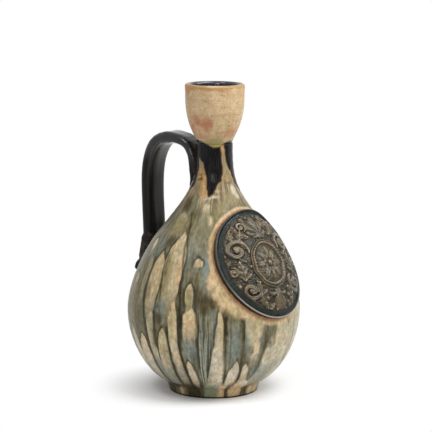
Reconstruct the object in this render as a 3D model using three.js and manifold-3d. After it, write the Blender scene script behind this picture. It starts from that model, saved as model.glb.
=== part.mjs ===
// Stoneware bottle vase with a cup mouth, one pulled handle and an applied oval medallion.
// Millimetres, +Z up, standing on z = 0. The medallion faces -Y and the handle rises at +Y.
import * as THREE from 'three';
import { mergeVertices } from 'three/addons/utils/BufferGeometryUtils.js';
import Module from 'manifold-3d';

const wasm = await Module();
wasm.setup();

// Foot slab
const footHeight = 8;
const footBaseRadius = 36.1;
const footTopRadius = 38.6;
const footEdgeBevel = 0.8;

// Belly, thrown as one open wall
const bellyRadius = 70.3;
const bellyLowerHeight = 59.4; // foot slab to the widest place
const bellyUpperHeight = 61.3; // widest place to the shoulder
const bellySpringOut = 16.1; // how far and how high the wall runs as it leaves the foot
const bellySpringUp = 7;
const bellyLowerFullness = 27.4;
const bellyUpperFullness = 22.2;
const shoulderRadius = 46.3;
const shoulderSlope = THREE.MathUtils.degToRad(51.8);
const shoulderBelowPull = 10.8;
const shoulderAbovePull = 46.3;
const bellyWall = 5.5;

// Neck, luted on above the medallion
const neckRadius = 14.7;
const shoulderToNeckTop = 73.6;
const neckStraightPull = 33.8;
const neckLength = 45;
const neckTopWall = 4.2;

// Cup mouth
const cupHeight = 47.7;
const cupBaseRadius = 13.7;
const cupRadius = 23.9;
const cupLipRadius = 24.15;
const cupShoulderHeight = 39.7; // base of the cup to where its side runs straight
const cupFlareOut = 2.3; // how far and how high the side runs as it leaves the neck
const cupFlareUp = 5.7;
const cupSwell = 0.6; // fuller than the straight side, over the pull below it
const cupSidePull = 23;
const cupWall = 4.2;
const cupThroatHeight = 12.6; // height over which the bore runs on into the cup
const cupBowlHeight = 19.8; // base of the cup to where its inside runs straight

// Medallion
const medallionHeight = 112.8; // its centre above the table
const plaqueHalfWidth = 40.9;
const plaqueHalfHeight = 45.4;
const plaqueThickness = 2.6;
const rimWidth = 2.5;
const rimRise = 3.8;
const grooveWidth = 2; // runs beside the rim, most of it flat at its full depth
const grooveFlat = 0.8;
const grooveDepth = 0.7;
const sprigRise = 2;

// Handle strap, pulled and bent in a plane a few degrees off the medallion's
const handleYaw = THREE.MathUtils.degToRad(2.7);
const handleTop = 203.6; // centreline of the arch
const handleCrownReach = 44;
const handleEndHeight = 121;
const handleEndStand = 13.5; // centreline out from the belly's wall at the strap's lower end
const handleBowHeight = 166; // where the centreline stands furthest out
const handleBowOut = 1.6; // and how much further than at its lower end
const handleTailHeight = 160;
const tailRun = 22; // height over which the tail lies on the shoulder before it stands as the root
const tailStand = 0.5; // centreline out from the neck's wall along the tail, and at the root
const rootStand = 2.8;
const rootPull = 5; // pulls of the curve at the arch's start, crown, outer corner, bow and end
const crownInnerPull = 17;
const crownOuterPull = 15.1;
const bowAbovePull = 21;
const bowBelowPull = 16;
const endPull = 14;
const strapWidth = 21;
const strapBowWidth = 23;
const strapThickness = 10.2;
const strapCorner = 4;
const rootWidth = 16.5;
const rootThickness = 7.4;
const tailWidth = 9;
const tailThickness = 2.6;
const strapChannelDepth = 0.7;

// Wad of clay thumbed round the handle's lower end
const wadWidth = 23;
const wadThickness = 12.4;
const wadDrop = 31.5;
const wadLap = 1; // how much wider and thicker than the strap it starts, and its waist's loss
const wadLean = 5.6; // how far its lower end stands further out than the strap
const wadCurl = 2.6; // extra width and thickness of the curl pressed up at its foot

const clayGap = 0.3; // between pieces that follow each other's curved faces
const turnSteps = 56; // facets round the belly, the neck and the cup
const neckTurnSteps = 40;
const cupTurnSteps = 44;
const cupSideSteps = 8;

const footTop = footHeight;
const widestZ = footTop + bellyLowerHeight;
const shoulderZ = widestZ + bellyUpperHeight;
const neckTop = shoulderZ + shoulderToNeckTop;
const neckSeam = neckTop - neckLength;
const cupTop = neckTop + cupHeight;

const point = (across, up) => new THREE.Vector2(across, up);

// Outer profile from the foot slab to the neck's top, radius against height
function bodyProfile() {
  const alongShoulder = (pull) => point(
    shoulderRadius - pull * Math.cos(shoulderSlope), shoulderZ + pull * Math.sin(shoulderSlope));
  return [
    new THREE.CubicBezierCurve(point(footTopRadius, footTop),
      point(footTopRadius + bellySpringOut, footTop + bellySpringUp),
      point(bellyRadius, widestZ - bellyLowerFullness), point(bellyRadius, widestZ)),
    new THREE.CubicBezierCurve(point(bellyRadius, widestZ),
      point(bellyRadius, widestZ + bellyUpperFullness),
      alongShoulder(-shoulderBelowPull), point(shoulderRadius, shoulderZ)),
    new THREE.CubicBezierCurve(point(shoulderRadius, shoulderZ), alongShoulder(shoulderAbovePull),
      point(neckRadius, neckTop - neckStraightPull), point(neckRadius, neckTop)),
  ];
}
const bodyCurves = bodyProfile();

// Where the profile stands at a height: its radius, and how fast the radius grows upwards
function bodyAt(z) {
  const height = THREE.MathUtils.clamp(z, footTop, neckTop);
  const curve = bodyCurves.find((piece) => height <= piece.v3.y) ?? bodyCurves[bodyCurves.length - 1];
  let low = 0;
  let high = 1;
  for (let pass = 0; pass < 34; pass += 1) {
    const middle = (low + high) / 2;
    if (curve.getPoint(middle).y < height) low = middle; else high = middle;
  }
  const place = curve.getPoint(low);
  const run = curve.getTangent(low);
  return { radius: place.x, slope: run.x / run.y };
}

// Wall thickness: the belly's own up to the seam, then drawn thinner up the neck
function wallAt(z) {
  const up = THREE.MathUtils.clamp((z - neckSeam) / neckLength, 0, 1);
  return THREE.MathUtils.lerp(bellyWall, neckTopWall, up);
}

function innerRadius(z) {
  const outside = bodyAt(z);
  return outside.radius - wallAt(z) * Math.hypot(1, outside.slope);
}

// Heights between two levels, closer together where the profile runs flat
function levels(low, high, count) {
  const fine = 240;
  const lengths = [0];
  const heights = [low];
  for (let step = 1; step <= fine; step += 1) {
    const z = low + ((high - low) * step) / fine;
    lengths.push(lengths[step - 1] + Math.hypot(1, bodyAt(z).slope));
    heights.push(z);
  }
  const picked = [];
  for (let step = 0; step <= count; step += 1) {
    const wanted = (lengths[fine] * step) / count;
    picked.push(heights[lengths.findIndex((length) => length >= wanted - 1e-9)]);
  }
  return picked;
}

// A closed profile of radius and height turned about +Z
function turned(profile, steps = turnSteps) {
  const geometry = new THREE.LatheGeometry(profile, steps);
  geometry.rotateX(Math.PI / 2);
  return outward(geometry);
}

function signedVolume(geometry) {
  const place = geometry.getAttribute('position');
  const index = geometry.getIndex();
  const corner = [new THREE.Vector3(), new THREE.Vector3(), new THREE.Vector3()];
  let volume = 0;
  for (let at = 0; at < index.count; at += 3) {
    corner.forEach((spot, side) => spot.fromBufferAttribute(place, index.getX(at + side)));
    volume += corner[0].dot(corner[1].clone().cross(corner[2])) / 6;
  }
  return volume;
}

// Shared corners, faces pointing out
function outward(source) {
  source.deleteAttribute('normal');
  source.deleteAttribute('uv');
  const geometry = mergeVertices(source, 1e-5);
  const kept = [];
  const index = geometry.getIndex();
  for (let at = 0; at < index.count; at += 3) {
    const [a, b, c] = [index.getX(at), index.getX(at + 1), index.getX(at + 2)];
    if (a !== b && b !== c && c !== a) kept.push(a, b, c);
  }
  geometry.setIndex(kept);
  if (signedVolume(geometry) < 0) geometry.setIndex(kept.reverse());
  geometry.computeVertexNormals();
  return geometry;
}

// Skin over a row of rings. A ring of one point is a pole; open ends are closed by a fan.
function loft(rings, closed = false) {
  const spots = [];
  const faces = [];
  const rows = rings.map((ring) => ring.map((spot) => spots.push(spot.x, spot.y, spot.z) / 3 - 1));
  const count = Math.max(...rows.map((row) => row.length));
  const pairs = closed ? rows.length : rows.length - 1;
  for (let row = 0; row < pairs; row += 1) {
    const near = rows[row];
    const far = rows[(row + 1) % rows.length];
    for (let side = 0; side < count; side += 1) {
      const next = (side + 1) % count;
      const pick = (ring, at) => ring[ring.length === 1 ? 0 : at];
      faces.push(pick(near, side), pick(near, next), pick(far, next));
      faces.push(pick(near, side), pick(far, next), pick(far, side));
    }
  }
  if (!closed) {
    for (const [row, turn] of [[0, 1], [rows.length - 1, -1]]) {
      if (rows[row].length > 1) {
        const middle = rings[row].reduce((sum, spot) => sum.add(spot), new THREE.Vector3());
        middle.divideScalar(count);
        const hub = spots.push(middle.x, middle.y, middle.z) / 3 - 1;
        for (let side = 0; side < count; side += 1) {
          const pair = [rows[row][(side + 1) % count], rows[row][side]];
          faces.push(hub, ...(turn > 0 ? pair : pair.reverse()));
        }
      }
    }
  }
  const geometry = new THREE.BufferGeometry();
  geometry.setAttribute('position', new THREE.Float32BufferAttribute(spots, 3));
  geometry.setIndex(faces);
  return outward(geometry);
}

function asSolid(geometry) {
  return new wasm.Manifold(new wasm.Mesh({
    numProp: 3,
    vertProperties: new Float32Array(geometry.getAttribute('position').array),
    triVerts: new Uint32Array(geometry.getIndex().array),
  }));
}

// What is left of a shape once others are cut from it
function cutBy(geometry, cutters) {
  let solid = asSolid(geometry);
  for (const cutter of cutters) solid = solid.subtract(asSolid(cutter));
  const mesh = solid.getMesh();
  const left = new THREE.BufferGeometry();
  left.setAttribute('position', new THREE.BufferAttribute(mesh.vertProperties, 3));
  left.setIndex(new THREE.BufferAttribute(mesh.triVerts, 1));
  return outward(left);
}

function footGeometry() {
  return turned([
    point(0, 0), point(footBaseRadius - footEdgeBevel, 0), point(footBaseRadius, footEdgeBevel),
    point(footTopRadius, footTop), point(0, footTop),
  ]);
}

// A stretch of the body's wall between two flat seats
function wallGeometry(low, high, outsideCount, insideCount, steps) {
  const outside = levels(low, high, outsideCount).map((z) => point(bodyAt(z).radius, z));
  const inside = levels(low, high, insideCount).map((z) => point(innerRadius(z), z)).reverse();
  return turned([...outside, ...inside, outside[0].clone()], steps);
}

// The cup's outside, from its seat on the neck to below the lip
function cupSide() {
  const straight = neckTop + cupShoulderHeight;
  return new THREE.CubicBezierCurve(point(cupBaseRadius, neckTop),
    point(cupBaseRadius + cupFlareOut, neckTop + cupFlareUp),
    point(cupRadius + cupSwell, straight - cupSidePull), point(cupRadius, straight));
}

function cupGeometry() {
  const bore = neckRadius - neckTopWall;
  const lip = cupWall / 2;
  const lipCentre = cupLipRadius - lip;
  const lipSteps = 5;
  const lipArc = [];
  for (let step = 0; step <= lipSteps; step += 1) {
    const angle = (Math.PI * step) / lipSteps;
    lipArc.push(point(lipCentre + lip * Math.cos(angle), cupTop - lip + lip * Math.sin(angle)));
  }
  const inside = new THREE.CubicBezierCurve(
    point(cupRadius - cupWall, neckTop + cupShoulderHeight),
    point(cupRadius - cupWall, neckTop + cupBowlHeight),
    point(bore, neckTop + cupThroatHeight), point(bore, neckTop));
  const outside = cupSide().getPoints(cupSideSteps);
  return turned([...outside, ...lipArc, ...inside.getPoints(7), outside[0].clone()], cupTurnSteps);
}

// Handle: a plane through the axis, turned by the yaw, holding its centreline
const handleOut = new THREE.Vector3(-Math.sin(handleYaw), Math.cos(handleYaw), 0);
const handleAcross = new THREE.Vector3(Math.cos(handleYaw), Math.sin(handleYaw), 0);

const handleEndReach = bodyAt(handleEndHeight).radius + handleEndStand;

function handlePath() {
  const offBody = (z, stand) => point(bodyAt(z).radius + stand, z);
  const root = offBody(handleTailHeight + tailRun, rootStand);
  const bowReach = handleEndReach + handleBowOut;
  const path = new THREE.CurvePath();
  path.add(new THREE.CubicBezierCurve(offBody(handleTailHeight, 0),
    offBody(handleTailHeight + 0.45 * tailRun, tailStand),
    offBody(handleTailHeight + 0.55 * tailRun, tailStand), root));
  path.add(new THREE.CubicBezierCurve(root, point(root.x, handleTop - rootPull),
    point(handleCrownReach - crownInnerPull, handleTop), point(handleCrownReach, handleTop)));
  path.add(new THREE.CubicBezierCurve(point(handleCrownReach, handleTop),
    point(handleCrownReach + crownOuterPull, handleTop), point(bowReach, handleBowHeight + bowAbovePull),
    point(bowReach, handleBowHeight)));
  path.add(new THREE.CubicBezierCurve(point(bowReach, handleBowHeight),
    point(bowReach, handleBowHeight - bowBelowPull), point(handleEndReach, handleEndHeight + endPull),
    point(handleEndReach, handleEndHeight)));
  return path;
}

// Rounded section of the strap, with a shallow thumb channel down its outer face
function strapSection(width, thickness, channel) {
  const corner = Math.min(strapCorner, 0.49 * thickness, 0.49 * width);
  const cornerSteps = 3;
  const outline = [];
  for (let turn = 0; turn < 4; turn += 1) {
    const sideX = turn === 0 || turn === 3 ? 1 : -1;
    const sideY = turn < 2 ? 1 : -1;
    for (let step = 0; step <= cornerSteps; step += 1) {
      const angle = ((turn + step / cornerSteps) * Math.PI) / 2;
      outline.push(point(sideX * (width / 2 - corner) + corner * Math.cos(angle),
        sideY * (thickness / 2 - corner) + corner * Math.sin(angle)));
    }
    if (turn === 0) outline.push(point(0, thickness / 2 - channel));
    if (turn === 2) outline.push(point(0, -thickness / 2));
  }
  return outline;
}

// Carries a section along the handle's plane: reach and height of its centre, and its run
function ringAt(centre, run, section) {
  const outer = point(run.y, -run.x).negate();
  return section.map((spot) => new THREE.Vector3()
    .addScaledVector(handleOut, centre.x + spot.y * outer.x)
    .addScaledVector(handleAcross, spot.x)
    .add(new THREE.Vector3(0, 0, centre.y + spot.y * outer.y)));
}

// A value that follows stops given as [share of the way, value]
function along(stops, share) {
  const next = Math.max(1, stops.findIndex((stop) => stop[0] >= share));
  const [from, to] = [stops[next - 1], stops[next]];
  return THREE.MathUtils.lerp(from[1], to[1], (share - from[0]) / (to[0] - from[0]));
}

// Body and cup as they would be if they were filled and grown by the clay gap
function grownBody() {
  const outside = levels(footTop, neckTop, 44).map((z) => {
    const { radius, slope } = bodyAt(z);
    return point(radius + clayGap * Math.hypot(1, slope), z);
  });
  const top = neckTop + clayGap;
  return turned([point(0, footTop), ...outside, point(neckRadius + clayGap, top), point(0, top)]);
}

function grownCup() {
  const outside = cupSide().getPoints(cupSideSteps)
    .map((spot) => point(spot.x + 1.6 * clayGap, spot.y - clayGap));
  return turned([point(0, neckTop - clayGap), ...outside,
    point(0, outside[outside.length - 1].y)], cupTurnSteps);
}

function handleGeometry() {
  const path = handlePath();
  const [root, crown, bow, leg] = [0.12, 0.3, 0.5, 0.8]; // shares of the strap's way down
  const widths = [[0, tailWidth], [root, rootWidth], [bow, strapBowWidth], [leg, strapWidth], [1, strapWidth]];
  const depths = [[0, tailThickness], [root, rootThickness], [bow, strapThickness], [1, strapThickness]];
  const channels = [[0, 0], [crown, 0], [bow, strapChannelDepth], [leg, strapChannelDepth], [1, 0]];
  const steps = 34;
  const rings = [];
  for (let step = 0; step <= steps; step += 1) {
    const share = step / steps;
    const section = strapSection(along(widths, share), along(depths, share), along(channels, share));
    rings.push(ringAt(path.getPoint(share), path.getTangent(share), section));
  }
  return cutBy(loft(rings), [grownBody(), grownCup()]);
}

// Wad below the strap's end: thickens down the belly to a curl pressed up by the thumb
function wadGeometry() {
  const top = handleEndHeight - clayGap;
  const run = point(-wadLean, wadDrop).normalize().negate();
  const [full, waist, curl, curlEnd] = [0.25, 0.72, 0.8, 0.94]; // shares of the wad's way down
  const widths = [[0, strapWidth + wadLap], [full, wadWidth], [waist, wadWidth], [curl, wadWidth + wadCurl],
    [curlEnd, wadWidth + wadCurl], [1, wadWidth - wadCurl]];
  const depths = [[0, strapThickness + wadLap], [full, wadThickness], [waist, wadThickness - wadLap],
    [curl, wadThickness + wadCurl], [curlEnd, wadThickness + wadCurl], [1, wadThickness - wadCurl]];
  const rings = [0, full / 2, full, 0.5, waist, 0.76, curl, 0.87, curlEnd, 0.98, 1].map((share) => {
    const section = strapSection(along(widths, share), along(depths, share), 0);
    const centre = point(handleEndReach + wadLean * share, top - wadDrop * share);
    return ringAt(centre, share === 0 ? point(0, -1) : run, section);
  });
  return cutBy(loft(rings), [grownBody()]);
}

// Medallion: its centre on the belly, the way it faces, and the up of its own plane
const medallionFace = (() => {
  const { radius, slope } = bodyAt(medallionHeight);
  const tilt = Math.atan(-slope);
  return {
    centre: new THREE.Vector3(0, -radius, medallionHeight),
    out: new THREE.Vector3(0, -Math.cos(tilt), Math.sin(tilt)),
    up: new THREE.Vector3(0, Math.sin(tilt), Math.cos(tilt)),
  };
})();

// A place on the medallion, across and up from its centre, lifted off the belly's face
function onBelly(across, up, lift) {
  const start = medallionFace.centre.clone()
    .add(new THREE.Vector3(across, 0, 0)).addScaledVector(medallionFace.up, up);
  let near = -plaqueHalfHeight;
  let far = bellyRadius;
  const spot = new THREE.Vector3();
  for (let pass = 0; pass < 26; pass += 1) {
    const depth = (near + far) / 2;
    spot.copy(start).addScaledVector(medallionFace.out, -depth);
    if (Math.hypot(spot.x, spot.y) > bodyAt(spot.z).radius) near = depth; else far = depth;
  }
  const girth = Math.hypot(spot.x, spot.y);
  const normal = new THREE.Vector3(spot.x / girth, spot.y / girth, -bodyAt(spot.z).slope).normalize();
  return spot.addScaledVector(normal, lift);
}

const plaqueSteps = 48;
const plaqueFloor = clayGap;
const plaqueFace = plaqueFloor + plaqueThickness;
const sprigSeat = plaqueFace + clayGap;

// One ring of an oval, at a share of its half sizes
function ovalRing(halfWidth, halfHeight, lift, count) {
  const ring = [];
  for (let step = 0; step < count; step += 1) {
    const angle = (2 * Math.PI * step) / count;
    ring.push(onBelly(halfWidth * Math.cos(angle), halfHeight * Math.sin(angle), lift));
  }
  return ring;
}

// Oval plaque bent to the belly, its edge dipping into a groove beside the rim
function plaqueGeometry() {
  const inset = rimWidth + clayGap;
  const ring = (back, lift) => ovalRing(plaqueHalfWidth - back, plaqueHalfHeight - back, lift, plaqueSteps);
  const share = (part, lift) => ovalRing((plaqueHalfWidth - inset) * part,
    (plaqueHalfHeight - inset) * part, lift, plaqueSteps);
  const grooveFloor = plaqueFace - grooveDepth;
  return loft([
    [onBelly(0, 0, plaqueFace)], share(0.25, plaqueFace), share(0.5, plaqueFace), share(0.75, plaqueFace),
    ring(inset + grooveWidth, plaqueFace), ring(inset + grooveFlat, grooveFloor), ring(inset, grooveFloor),
    ring(inset, plaqueFloor), share(0.75, plaqueFloor), share(0.5, plaqueFloor), share(0.25, plaqueFloor),
    [onBelly(0, 0, plaqueFloor)],
  ]);
}

// Section of a raised band: across from one edge to the other, over its flattened crown
function bandSection(halfWidth, rise) {
  const flatten = 0.7;
  const sides = 5;
  const section = [];
  for (let step = 0; step <= sides; step += 1) {
    const angle = Math.PI * (1 - step / sides);
    section.push(point(halfWidth * Math.cos(angle), rise * Math.sin(angle) ** flatten));
  }
  return section;
}

// A raised band that follows a flat curve laid on the medallion
function bandGeometry(curve, steps, halfWidthAt, riseAt, seat, closed = false) {
  const rings = [];
  const count = closed ? steps : steps + 1;
  for (let step = 0; step < count; step += 1) {
    const share = step / steps;
    const middle = curve(share);
    const ahead = curve(share + 1e-3);
    const side = point(middle.y - ahead.y, ahead.x - middle.x).normalize();
    rings.push(bandSection(halfWidthAt(share), riseAt(share)).map((spot) => onBelly(
      middle.x + side.x * spot.x, middle.y + side.y * spot.x, seat + spot.y)));
  }
  return loft(rings, closed);
}

function rimGeometry() {
  const back = rimWidth / 2;
  const oval = (share) => {
    const angle = 2 * Math.PI * share;
    return point((plaqueHalfWidth - back) * Math.cos(angle), (plaqueHalfHeight - back) * Math.sin(angle));
  };
  return bandGeometry(oval, 56, () => rimWidth / 2, () => rimRise, plaqueFloor, true);
}

// A pressed sprig whose edge and rise go round its centre by formula
function sprigGeometry(centre, edgeAt, riseAt, count) {
  const ring = (part, rise) => {
    const spots = [];
    for (let step = 0; step < count; step += 1) {
      const angle = (2 * Math.PI * step) / count;
      const edge = edgeAt(angle);
      spots.push(onBelly(centre.x + edge.x * part, centre.y + edge.y * part,
        sprigSeat + (rise ? riseAt(part, angle) : 0)));
    }
    return spots;
  };
  return loft([
    [onBelly(centre.x, centre.y, sprigSeat + riseAt(0, 0))],
    ring(0.3, true), ring(0.65, true), ring(0.9, true), ring(1, true),
    ring(1, false), ring(0.5, false), [onBelly(centre.x, centre.y, sprigSeat)],
  ]);
}

// Rosette and its oval frame in the middle. Places on the medallion are across and up from its centre.
const rosettePetals = 8;
const rosetteHalfWidth = 10.8;
const rosetteHalfHeight = 13.4;
const petalNotch = 0.14; // share of the rosette's reach that is lost between two petals
const frameHalfWidth = 14.8;
const frameHalfHeight = 17.6;
const frameBand = 2.8;
const frameDrop = 2.5; // the frame's centre below the medallion's
const frameCentre = point(0, -frameDrop);
const edgeRise = 0.3; // a sprig's rise at its edge, as a share of the full one

// 1 on a lobe's rib and 0 in the valley beside it
const ribAt = (lobes, angle) => Math.abs(Math.cos((lobes * angle) / 2));

function rosetteGeometry() {
  const reach = (angle) => 1 - petalNotch * (1 - ribAt(rosettePetals, angle));
  return sprigGeometry(frameCentre,
    (angle) => point(rosetteHalfWidth * reach(angle) * Math.cos(angle),
      rosetteHalfHeight * reach(angle) * Math.sin(angle)),
    (part, angle) => {
      const button = 0.55 + 0.45 * Math.cos(2.6 * part); // high in the middle, sunk round it
      const petal = 0.35 * Math.sin(Math.PI * part) * ribAt(rosettePetals, angle);
      return sprigRise * (part === 1 ? edgeRise : button + petal);
    }, rosettePetals * 4);
}

function frameGeometry() {
  return bandGeometry((share) => point(frameCentre.x + frameHalfWidth * Math.cos(2 * Math.PI * share),
    frameCentre.y + frameHalfHeight * Math.sin(2 * Math.PI * share)),
  36, () => frameBand / 2, () => sprigRise, sprigSeat, true);
}

// Palmette: a fan of lobes that stands on the frame
const palmetteLobes = 7;
const palmetteReach = 16.5;
const palmetteHeartRadius = 3;
const palmetteStand = 4.6; // its heart above the frame's outer edge
const palmetteSpread = 1.45; // how wide the fan opens
const palmetteNotch = 0.16;

function palmetteGeometry() {
  const heart = point(0, frameCentre.y + frameHalfHeight + frameBand / 2 + palmetteStand);
  const leanOf = (angle) => Math.atan2(Math.cos(angle), Math.sin(angle)); // 0 straight up
  const rib = (lean) => ribAt(2 * palmetteLobes, lean / palmetteSpread);
  return sprigGeometry(heart,
    (angle) => {
      const lean = leanOf(angle);
      const fan = Math.max(0, Math.cos(lean / palmetteSpread)) * (0.75 + 0.25 * Math.cos(lean));
      const lobe = 1 - palmetteNotch * (1 - rib(lean));
      const reach = palmetteHeartRadius + (palmetteReach - palmetteHeartRadius) * fan * lobe;
      return point(reach * Math.sin(lean), reach * Math.cos(lean));
    },
    (part, angle) => sprigRise * (part === 1 ? edgeRise
      : 0.62 + 0.38 * rib(leanOf(angle)) * Math.sin(0.9 * Math.PI * part)), 44);
}

// Leaf drop: three leaves that hang below the frame
const dropReach = 13;
const dropHeartRadius = 3.2;
const dropHang = 4.6; // its heart below the frame's outer edge

function dropGeometry() {
  const heart = point(0, frameCentre.y - frameHalfHeight - frameBand / 2 - dropHang);
  return sprigGeometry(heart,
    (angle) => {
      const lean = Math.atan2(Math.cos(angle), -Math.sin(angle)); // 0 straight down
      const fan = Math.abs(lean) < 0.525 * Math.PI ? 0.66 + 0.34 * Math.cos(lean) : 0.07;
      const reach = dropHeartRadius + (dropReach - dropHeartRadius) * fan * ribAt(3, lean) ** 0.8;
      return point(reach * Math.sin(lean), -reach * Math.cos(lean));
    },
    (part) => sprigRise * (part === 1 ? edgeRise : 0.9 - 0.5 * part * part), 36);
}

// Scrolls: a stem that winds into an open spiral, mirrored left and right, large above and small below
const scrollTurns = 1.35;
const upperScrollAcross = 24.6;
const upperScrollUp = 12.6;
const upperScrollReach = 9.8;
const upperScrollEye = 1.9;
const upperScrollBand = 3.4;
const upperScrollStart = THREE.MathUtils.degToRad(203.4);
const lowerScrollAcross = 23.6;
const lowerScrollDown = 20.4;
const lowerScrollReach = 8.4;
const lowerScrollEye = 1.7;
const lowerScrollBand = 3;
const lowerScrollStart = THREE.MathUtils.degToRad(128.9);

function scrollGeometry(centre, reach, eye, band, start, turn, side) {
  const curve = (share) => {
    const angle = start + turn * 2 * Math.PI * scrollTurns * share;
    const radius = THREE.MathUtils.lerp(reach, eye, share ** 0.85);
    return point(side * (centre.x + radius * Math.cos(angle)), centre.y + radius * Math.sin(angle));
  };
  return bandGeometry(curve, 30,
    (share) => (band / 2) * (0.35 + 0.65 * Math.min(1, 8 * share, 3.2 * (1.25 - share))),
    (share) => sprigRise * (0.6 + 0.4 * Math.sin(Math.PI * Math.min(1, 1.2 * share))), sprigSeat);
}

const upperScroll = (side) => scrollGeometry(point(upperScrollAcross, upperScrollUp), upperScrollReach,
  upperScrollEye, upperScrollBand, upperScrollStart, -1, side);
const lowerScroll = (side) => scrollGeometry(point(lowerScrollAcross, -lowerScrollDown), lowerScrollReach,
  lowerScrollEye, lowerScrollBand, lowerScrollStart, 1, side);

// Side leaves between the scrolls
const leafAcross = 27.4;
const leafDown = 4.6;
const leafHalfLength = 7.6;
const leafHalfWidth = 4.8;
const leafWave = 0.12; // of the half width, three times along each edge
const leafLean = THREE.MathUtils.degToRad(97);

function leafGeometry(side) {
  return sprigGeometry(point(side * leafAcross, -leafDown),
    (angle) => {
      const run = leafHalfLength * Math.cos(angle);
      const rise = leafHalfWidth * Math.sin(angle) * (1 + leafWave * Math.cos(6 * angle));
      return point(side * (run * Math.cos(leafLean) - rise * Math.sin(leafLean)),
        run * Math.sin(leafLean) + rise * Math.cos(leafLean));
    },
    (part, angle) => sprigRise * (part === 1 ? edgeRise : 0.95 - 0.5 * part * Math.abs(Math.sin(angle))), 24);
}

// Berries: small round sprigs in the corners of the pattern
const berryRadius = 1.9;
const upperBerryAcross = 21.6;
const upperBerryUp = 28.8;
const lowerBerryAcross = 13;
const lowerBerryDown = 33;

function berryGeometry(across, up) {
  return sprigGeometry(point(across, up),
    (angle) => point(berryRadius * Math.cos(angle), berryRadius * Math.sin(angle)),
    (part) => sprigRise * Math.sqrt(Math.max(edgeRise ** 2, 1 - part * part)), 12);
}

const vase = new THREE.Group();

function place(name, geometry, colour, roughness) {
  const material = new THREE.MeshStandardMaterial({ color: colour, roughness, metalness: 0 });
  const mesh = new THREE.Mesh(geometry, material);
  mesh.name = name;
  vase.add(mesh);
}

place('foot', footGeometry(), 0x8d8468, 0.4);
place('belly', wallGeometry(footTop, neckSeam, 18, 10, turnSteps), 0x97927a, 0.32);
place('neck', wallGeometry(neckSeam, neckTop, 9, 5, neckTurnSteps), 0x2a2422, 0.2);
place('mouth_cup', cupGeometry(), 0xc2a47c, 0.5);
place('handle', handleGeometry(), 0x242425, 0.28);
place('handle_wad', wadGeometry(), 0x2a2624, 0.35);
place('plaque', plaqueGeometry(), 0x2d3431, 0.42);
place('plaque_rim', rimGeometry(), 0x3b403c, 0.36);
place('frame_oval', frameGeometry(), 0x5b4d38, 0.45);
place('rosette', rosetteGeometry(), 0x66543b, 0.45);
place('palmette', palmetteGeometry(), 0x5e4f3a, 0.45);
place('leaf_drop', dropGeometry(), 0x5a4c38, 0.45);
for (const [word, side] of [['left', -1], ['right', 1]]) {
  place(`scroll_upper_${word}`, upperScroll(side), 0x5d4f39, 0.45);
  place(`scroll_lower_${word}`, lowerScroll(side), 0x584b37, 0.45);
  place(`leaf_${word}`, leafGeometry(side), 0x5a4d3a, 0.45);
  place(`berry_upper_${word}`, berryGeometry(side * upperBerryAcross, upperBerryUp), 0x6b583d, 0.45);
  place(`berry_lower_${word}`, berryGeometry(side * lowerBerryAcross, -lowerBerryDown), 0x6b583d, 0.45);
}

export default vase;
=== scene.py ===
import math

import bpy
import numpy as np
from mathutils import Matrix


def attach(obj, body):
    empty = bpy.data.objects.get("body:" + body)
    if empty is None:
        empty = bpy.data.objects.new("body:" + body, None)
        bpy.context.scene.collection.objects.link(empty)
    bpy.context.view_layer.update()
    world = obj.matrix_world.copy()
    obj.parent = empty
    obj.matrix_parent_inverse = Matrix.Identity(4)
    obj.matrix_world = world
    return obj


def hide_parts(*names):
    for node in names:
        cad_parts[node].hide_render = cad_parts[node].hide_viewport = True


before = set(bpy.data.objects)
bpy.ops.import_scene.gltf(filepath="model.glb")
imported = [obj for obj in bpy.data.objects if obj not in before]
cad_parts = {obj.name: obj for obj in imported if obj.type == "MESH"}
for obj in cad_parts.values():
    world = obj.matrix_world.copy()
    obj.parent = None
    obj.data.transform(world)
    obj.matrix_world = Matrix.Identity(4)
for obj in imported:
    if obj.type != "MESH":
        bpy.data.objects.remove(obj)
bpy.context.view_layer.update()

mm = 0.001
print('frame loaded:', len(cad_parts), 'nodes')


# Geometry helpers. Lengths are in millimetres until they reach a mesh.

def bezier(start, pull, lead, end, count=200):
    t = np.linspace(0, 1, count + 1)[:, None]
    start, pull, lead, end = (np.array(place, float) for place in (start, pull, lead, end))
    return (1 - t) ** 3 * start + 3 * (1 - t) ** 2 * t * pull + 3 * (1 - t) * t ** 2 * lead + t ** 3 * end


def evenly(curve, spacing):
    curve = np.array(curve, float)
    run = np.r_[0, np.cumsum(np.hypot(*np.diff(curve, axis=0).T))]
    wanted = np.linspace(0, run[-1], max(2, round(run[-1] / spacing)) + 1)
    return np.column_stack([np.interp(wanted, run, curve[:, side]) for side in (0, 1)])


def smooth(values, low, high):
    share = np.clip((values - low) / (high - low), 0, 1)
    return share * share * (3 - 2 * share)


def bell(values, half):
    return np.exp(-(values / half) ** 2)


def waves(points, size, seed, count=30):
    # soft seeded noise from about -1 to 1, its lumps of the given size
    draw = np.random.default_rng(seed)
    ways = draw.normal(size=(count, points.shape[1]))
    lengths = math.tau / size * draw.uniform(0.45, 1.3, count)
    ways *= (lengths / np.linalg.norm(ways, axis=1))[:, None]
    phases = draw.uniform(0, math.tau, count)
    return np.sin(points @ ways.T + phases).sum(1) / math.sqrt(count / 2) * 0.8


def polar(points):
    # radius, height and azimuth, which is 0 where the medallion faces and grows towards +X
    azimuth = np.degrees(np.arctan2(points[:, 0], -points[:, 1]))
    return np.hypot(points[:, 0], points[:, 1]), points[:, 2], azimuth


def turnBetween(first, second):
    return (first - second + 180) % 360 - 180


def ovalAt(x, y, halfWidth, halfHeight):
    # bearing and share of the way out to an oval's edge
    return np.arctan2(y / halfHeight, x / halfWidth), np.hypot(x / halfWidth, y / halfHeight)


def alongWall(azimuth, centre, radius):
    return np.radians(turnBetween(azimuth, centre)) * radius


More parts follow.
